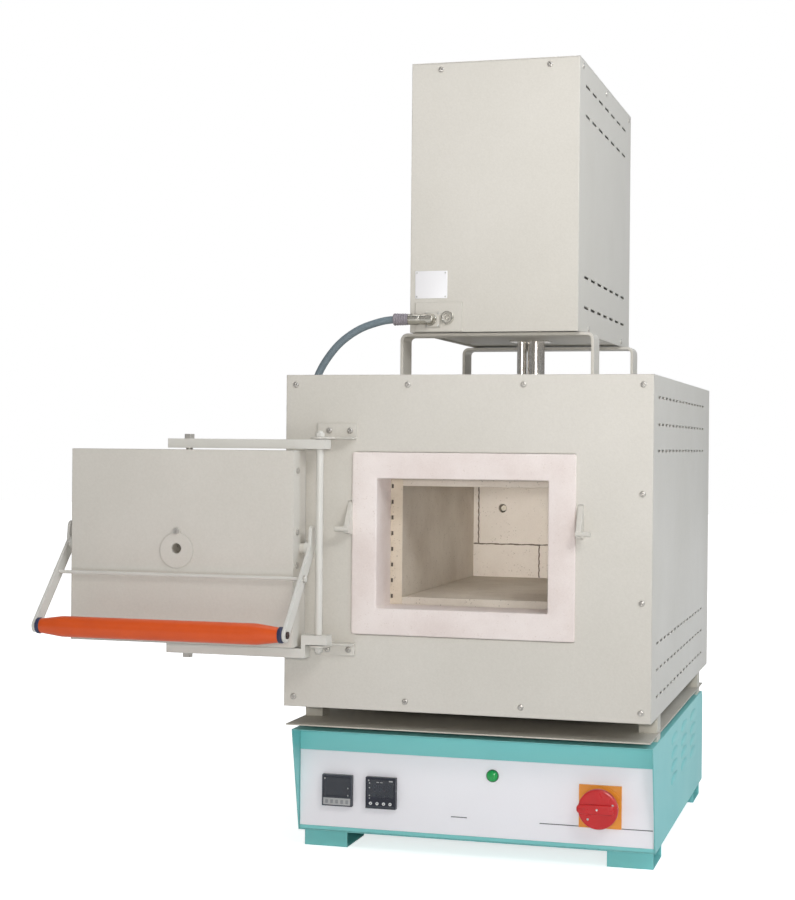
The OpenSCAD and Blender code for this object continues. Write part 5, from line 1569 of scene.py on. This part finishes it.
@dataclass
class FurnaceBody:
    """The insulated body with its mouth, chamber and heating."""

    middle: Point = (0.0, 0.0, 0.4825)
    mouth_middle: Point = (-0.0026, -0.3065, 0.4812)
    mouth_size: Point = (0.3412, 0.2744, 0.0775)
    opening_size: Pair = (0.2614, 0.1950)
    opening_middle: Pair = (-0.0007, 0.0004)
    chamber_front: float = -0.3050
    heater_x: float = 0.1260
    heater_edge: Point = (0.0216, 0.1944, 0.0013)
    grooves: int = 8
    groove: Pair = (0.0034, 0.0062)
    groove_inset: float = 0.0055
    groove_pitch: float = 0.0242
    groove_depth: float = 0.0010
    brick_face: float = 0.1650
    joint_half: float = 0.0011
    joint_swing: float = 0.00042
    joint_step: float = 0.004
    joint_lines: tuple[tuple[Pair, Pair, float], ...] = (
        ((-0.1057, 0.4540), (-0.1057, 0.5660), 1.0), ((0.0050, 0.3960), (0.0050, 0.4540), 2.3),
        ((-0.1145, 0.4540), (0.1145, 0.4540), 3.7))

    def mouth(self) -> bpy.types.Object:
        """Casts the mouth's refractory frame, with its rims rubbed round."""
        wide, tall, deep = self.mouth_size
        shape = Shape().collar(Place(self.mouth_middle), rounded(wide, tall, 0.0036, steps=6),
                               rounded(*self.opening_size, 0.0022, self.opening_middle, 6),
                               0.0, deep, 0.0022, 4)
        return shape.piece("cast_mouth_frame", "root", FRAME_BRICK, ["mouth_frame"])

    def heater_edges(self) -> list[bpy.types.Object]:
        """Puts the heating plates' front edges on; each wire groove ends in a shallow pocket with a
        dark wire-toned plate, which is wire and painted shade.
        """
        edges, ends = Shape(), Shape()
        for side in (-1, 1):
            spot = Place((side * self.heater_x, self.chamber_front, self.mouth_middle[2]))
            holes = [(side * self.groove_inset, (step - (self.grooves - 1) / 2) * self.groove_pitch)
                     for step in range(self.grooves)]
            edges.pierced(spot, self.heater_edge, holes, self.groove, self.groove_depth)
            # dark wire-toned plates on the pocket floors: the wire, and painted shade of the deep
            # groove
            for right, up in holes:
                ends.block(spot.shifted(right, up, 0.0003), (-0.0016, -0.0030, 0.0),
                           (0.0016, 0.0030, 0.00025), 0.0001)
        return [edges.piece("heating_plate_edges", "root", CHAMBER_EDGE),
                ends.piece("heating_groove_wire_and_shade_ends", "root", WIRE)]

    def joints(self) -> bpy.types.Object:
        """Fills the joints of the back wall's bricks with dark, crumbling mortar."""
        face = Place((0.0, self.brick_face + 0.0004, 0.0))
        shape = Shape()
        for start, end, seed in self.joint_lines:
            steps = max(8, round(math.dist(start, end) / self.joint_step))
            along = ((end[0] - start[0]) / steps, (end[1] - start[1]) / steps)
            edges: tuple[Outline, Outline] = ([], [])
            for step in range(steps + 1):
                right, up = start[0] + along[0] * step, start[1] + along[1] * step
                for side, edge in ((-1, edges[0]), (1, edges[1])):
                    swing = (math.sin(step * 1.9 * seed + side)
                             + 0.6 * math.sin(step * 4.3 + seed * side))
                    wide = side * (self.joint_half + self.joint_swing * swing)
                    edge.append((right + wide, up) if along[0] == 0 else (right, up + wide))
            shape.prism(face, edges[0] + edges[1][::-1], 0.0, 0.0006)
        return shape.piece("brick_joints", "root", MORTAR)

    def build(self) -> list[bpy.types.Object]:
        """Dresses the body and makes its screws."""
        dress(PANEL_GREY, "front_plate", "left_side_panel", "right_side_panel", "top_panel",
              "bottom_panel", "rear_panel")
        dress(CHAMBER_BRICK, "left_heating_plate", "right_heating_plate", "chamber_roof",
              "hearth_slab")
        dress(WALL_BRICK, "back_bricks")
        dress(FIBRE_BOARD, "insulation_boards")
        dress(WIRE, "element_wires")
        dress(PROBE, "thermocouple")
        dress(TUBE_STEEL, "flue_tubes")
        heads = screws("casing_screw_heads", "root", "casing_screws", Vector(self.middle),
                       Recess.CROSS)
        return [heads, self.mouth(), *self.heater_edges(), self.joints()]


@dataclass
class AfterburnerTower:
    """The tower with its stand, lid and connections."""

    front: float = -0.198
    plate: tuple[float, float, float, float] = (-0.128, -0.075, 0.864, 0.908)
    rivet_inset: float = 0.003
    flange: Point = (-0.098, -0.203, 0.830)
    flange_screw: float = 0.0096
    socket: Point = (-0.0735, -0.205, 0.833)
    pin_circle: float = 0.0034

    def nameplate(self) -> list[bpy.types.Object]:
        """Fixes the bare white plate with its rivets."""
        left, right, low, high = self.plate
        spot = Place(((left + right) / 2, self.front, (low + high) / 2))
        slab = Shape().prism(spot, rounded(right - left, high - low, 0.0012, steps=3), -0.0001,
                             0.0008, 0.0002)
        rivets = Shape()
        for corner in spot.corners((right - left) / 2 - self.rivet_inset,
                                   (high - low) / 2 - self.rivet_inset, 0.0007):
            rivets.lathe(corner, [(0.0, 0.0), (0.0015, 0.0), (0.0013, 0.0007), (0.0007, 0.0010),
                                  (0.0, 0.0011)], 16)
        return [slab.piece("bare_plate", "root", PLATE_WHITE),
                rivets.piece("bare_plate_rivets", "root", ZINC)]

    def flange_screws(self) -> bpy.types.Object:
        """Puts a small screw in each corner of the plug's square flange."""
        shape = Shape()
        for corner in Place(self.flange).corners(self.flange_screw, self.flange_screw):
            pan_head(shape, corner, 0.0016, 0.0009)
        return shape.piece("socket_flange_screws", "root", ZINC)

    def signal_socket(self) -> bpy.types.Object:
        """Trims the round signal socket with a bright ring and pins."""
        spot = Place(self.socket)
        shape = Shape()
        shape.collar(spot, ring_of(0.0102, 48), ring_of(0.0074, 48), -0.0046, 0.0005, 0.0006, 3)
        for step in range(4):
            turn = math.pi / 4 + step * math.pi / 2
            pin = spot.shifted(self.pin_circle * math.cos(turn), self.pin_circle * math.sin(turn),
                               -0.0030)
            shape.lathe(pin, [(0.0, 0.0), (0.0009, 0.0), (0.0009, 0.0022), (0.0, 0.0028)], 12)
        return shape.piece("signal_socket_ring", "root", NICKEL)

    def build(self) -> list[bpy.types.Object]:
        """Dresses the tower and makes its details."""
        dress(PANEL_GREY, "tower_shell", "tower_lid", "tower_floor", "connector_panel",
              "tower_stand")
        dress(ZINC, "exhaust_collar")
        dress(FIBRE_BOARD, "afterburner_core")
        return [*self.nameplate(), self.flange_screws(), self.signal_socket()]


@dataclass
class SwingDoor:
    """The door with its parallel arms, levers, grip and air damper."""

    door_x: float = -0.418
    grip_y: float = -0.543
    grip_z: float = 0.356
    lever_in: float = 0.1945
    lever_out: float = 0.1990
    rod_y: float = -0.4707
    rod_z: float = 0.4315
    grip_radius: float = 0.0155
    neck_radius: float = 0.0108

    def grip(self) -> list[bpy.types.Object]:
        """Turns the orange grip and its dark ferrules."""
        axis = Place((self.door_x, self.grip_y, self.grip_z), Side.RIGHT)
        end, neck, full = self.lever_in - 0.0006, self.neck_radius, self.grip_radius
        taper = [(neck, 0.006), (neck + (full - neck) * 0.86, 0.036),
                 (neck + (full - neck) * 0.96, 0.040), (full, 0.046)]
        profile = [(0.0, -end + 0.006), *((radius, -end + along) for radius, along in taper),
                   *((radius, end - along) for radius, along in reversed(taper)),
                   (0.0, end - 0.006)]
        grip = Shape().lathe(axis, profile, 48)
        rings, bolts, nuts = Shape(), Shape(), Shape()
        for side, x in ((Side.RIGHT, self.lever_out), (Side.LEFT, -self.lever_out)):
            rings.lathe(Place(axis.origin, side),
                        [(0.0, end - 0.0062), (neck + 0.0006, end - 0.0062),
                         (neck + 0.0012, end - 0.005), (neck + 0.0010, end - 0.001),
                         (neck + 0.0002, end), (0.0, end)], 40)
            socket_head(bolts, Place((self.door_x + x, self.grip_y, self.grip_z), side), 0.0052,
                        0.0026, 0.0042)
            hex_nut(nuts, Place((self.door_x + x, self.rod_y, self.rod_z), side), 0.0095, 0.0026,
                    0.0026)
        return [grip.piece("orange_grip", "handle", GRIP, ["handle_grip"]),
                rings.piece("grip_ferrules", "handle", FERRULE),
                bolts.piece("grip_bolts", "handle", BLACKENED),
                nuts.piece("rod_nuts", "handle", SCREW)]

    def build(self) -> list[bpy.types.Object]:
        """Dresses the door and makes its details."""
        dress(PANEL_GREY, "door_shell", "hinge_brackets", "door_catches", "air_damper")
        dress(PLUG_FIBRE, "door_plug")
        dress(LEVER_GREY, "top_arm", "bottom_arm", "handle_levers", "hinge_post", "cross_rod")
        dress(SCREW, "arm_bolts", "door_screws")
        return self.grip()


def main() -> None:
    """Builds the sub-assemblies in order."""
    logging.basicConfig(level=logging.INFO, format="%(message)s")
    for part in (StudioSet(), TowerCable(), ControlBase(), FurnaceBody(), AfterburnerTower(),
                 SwingDoor()):
        for piece in part.build():
            log.info("%s: %s", type(part).__name__, piece.name)


if __name__ == "__main__":
    main()
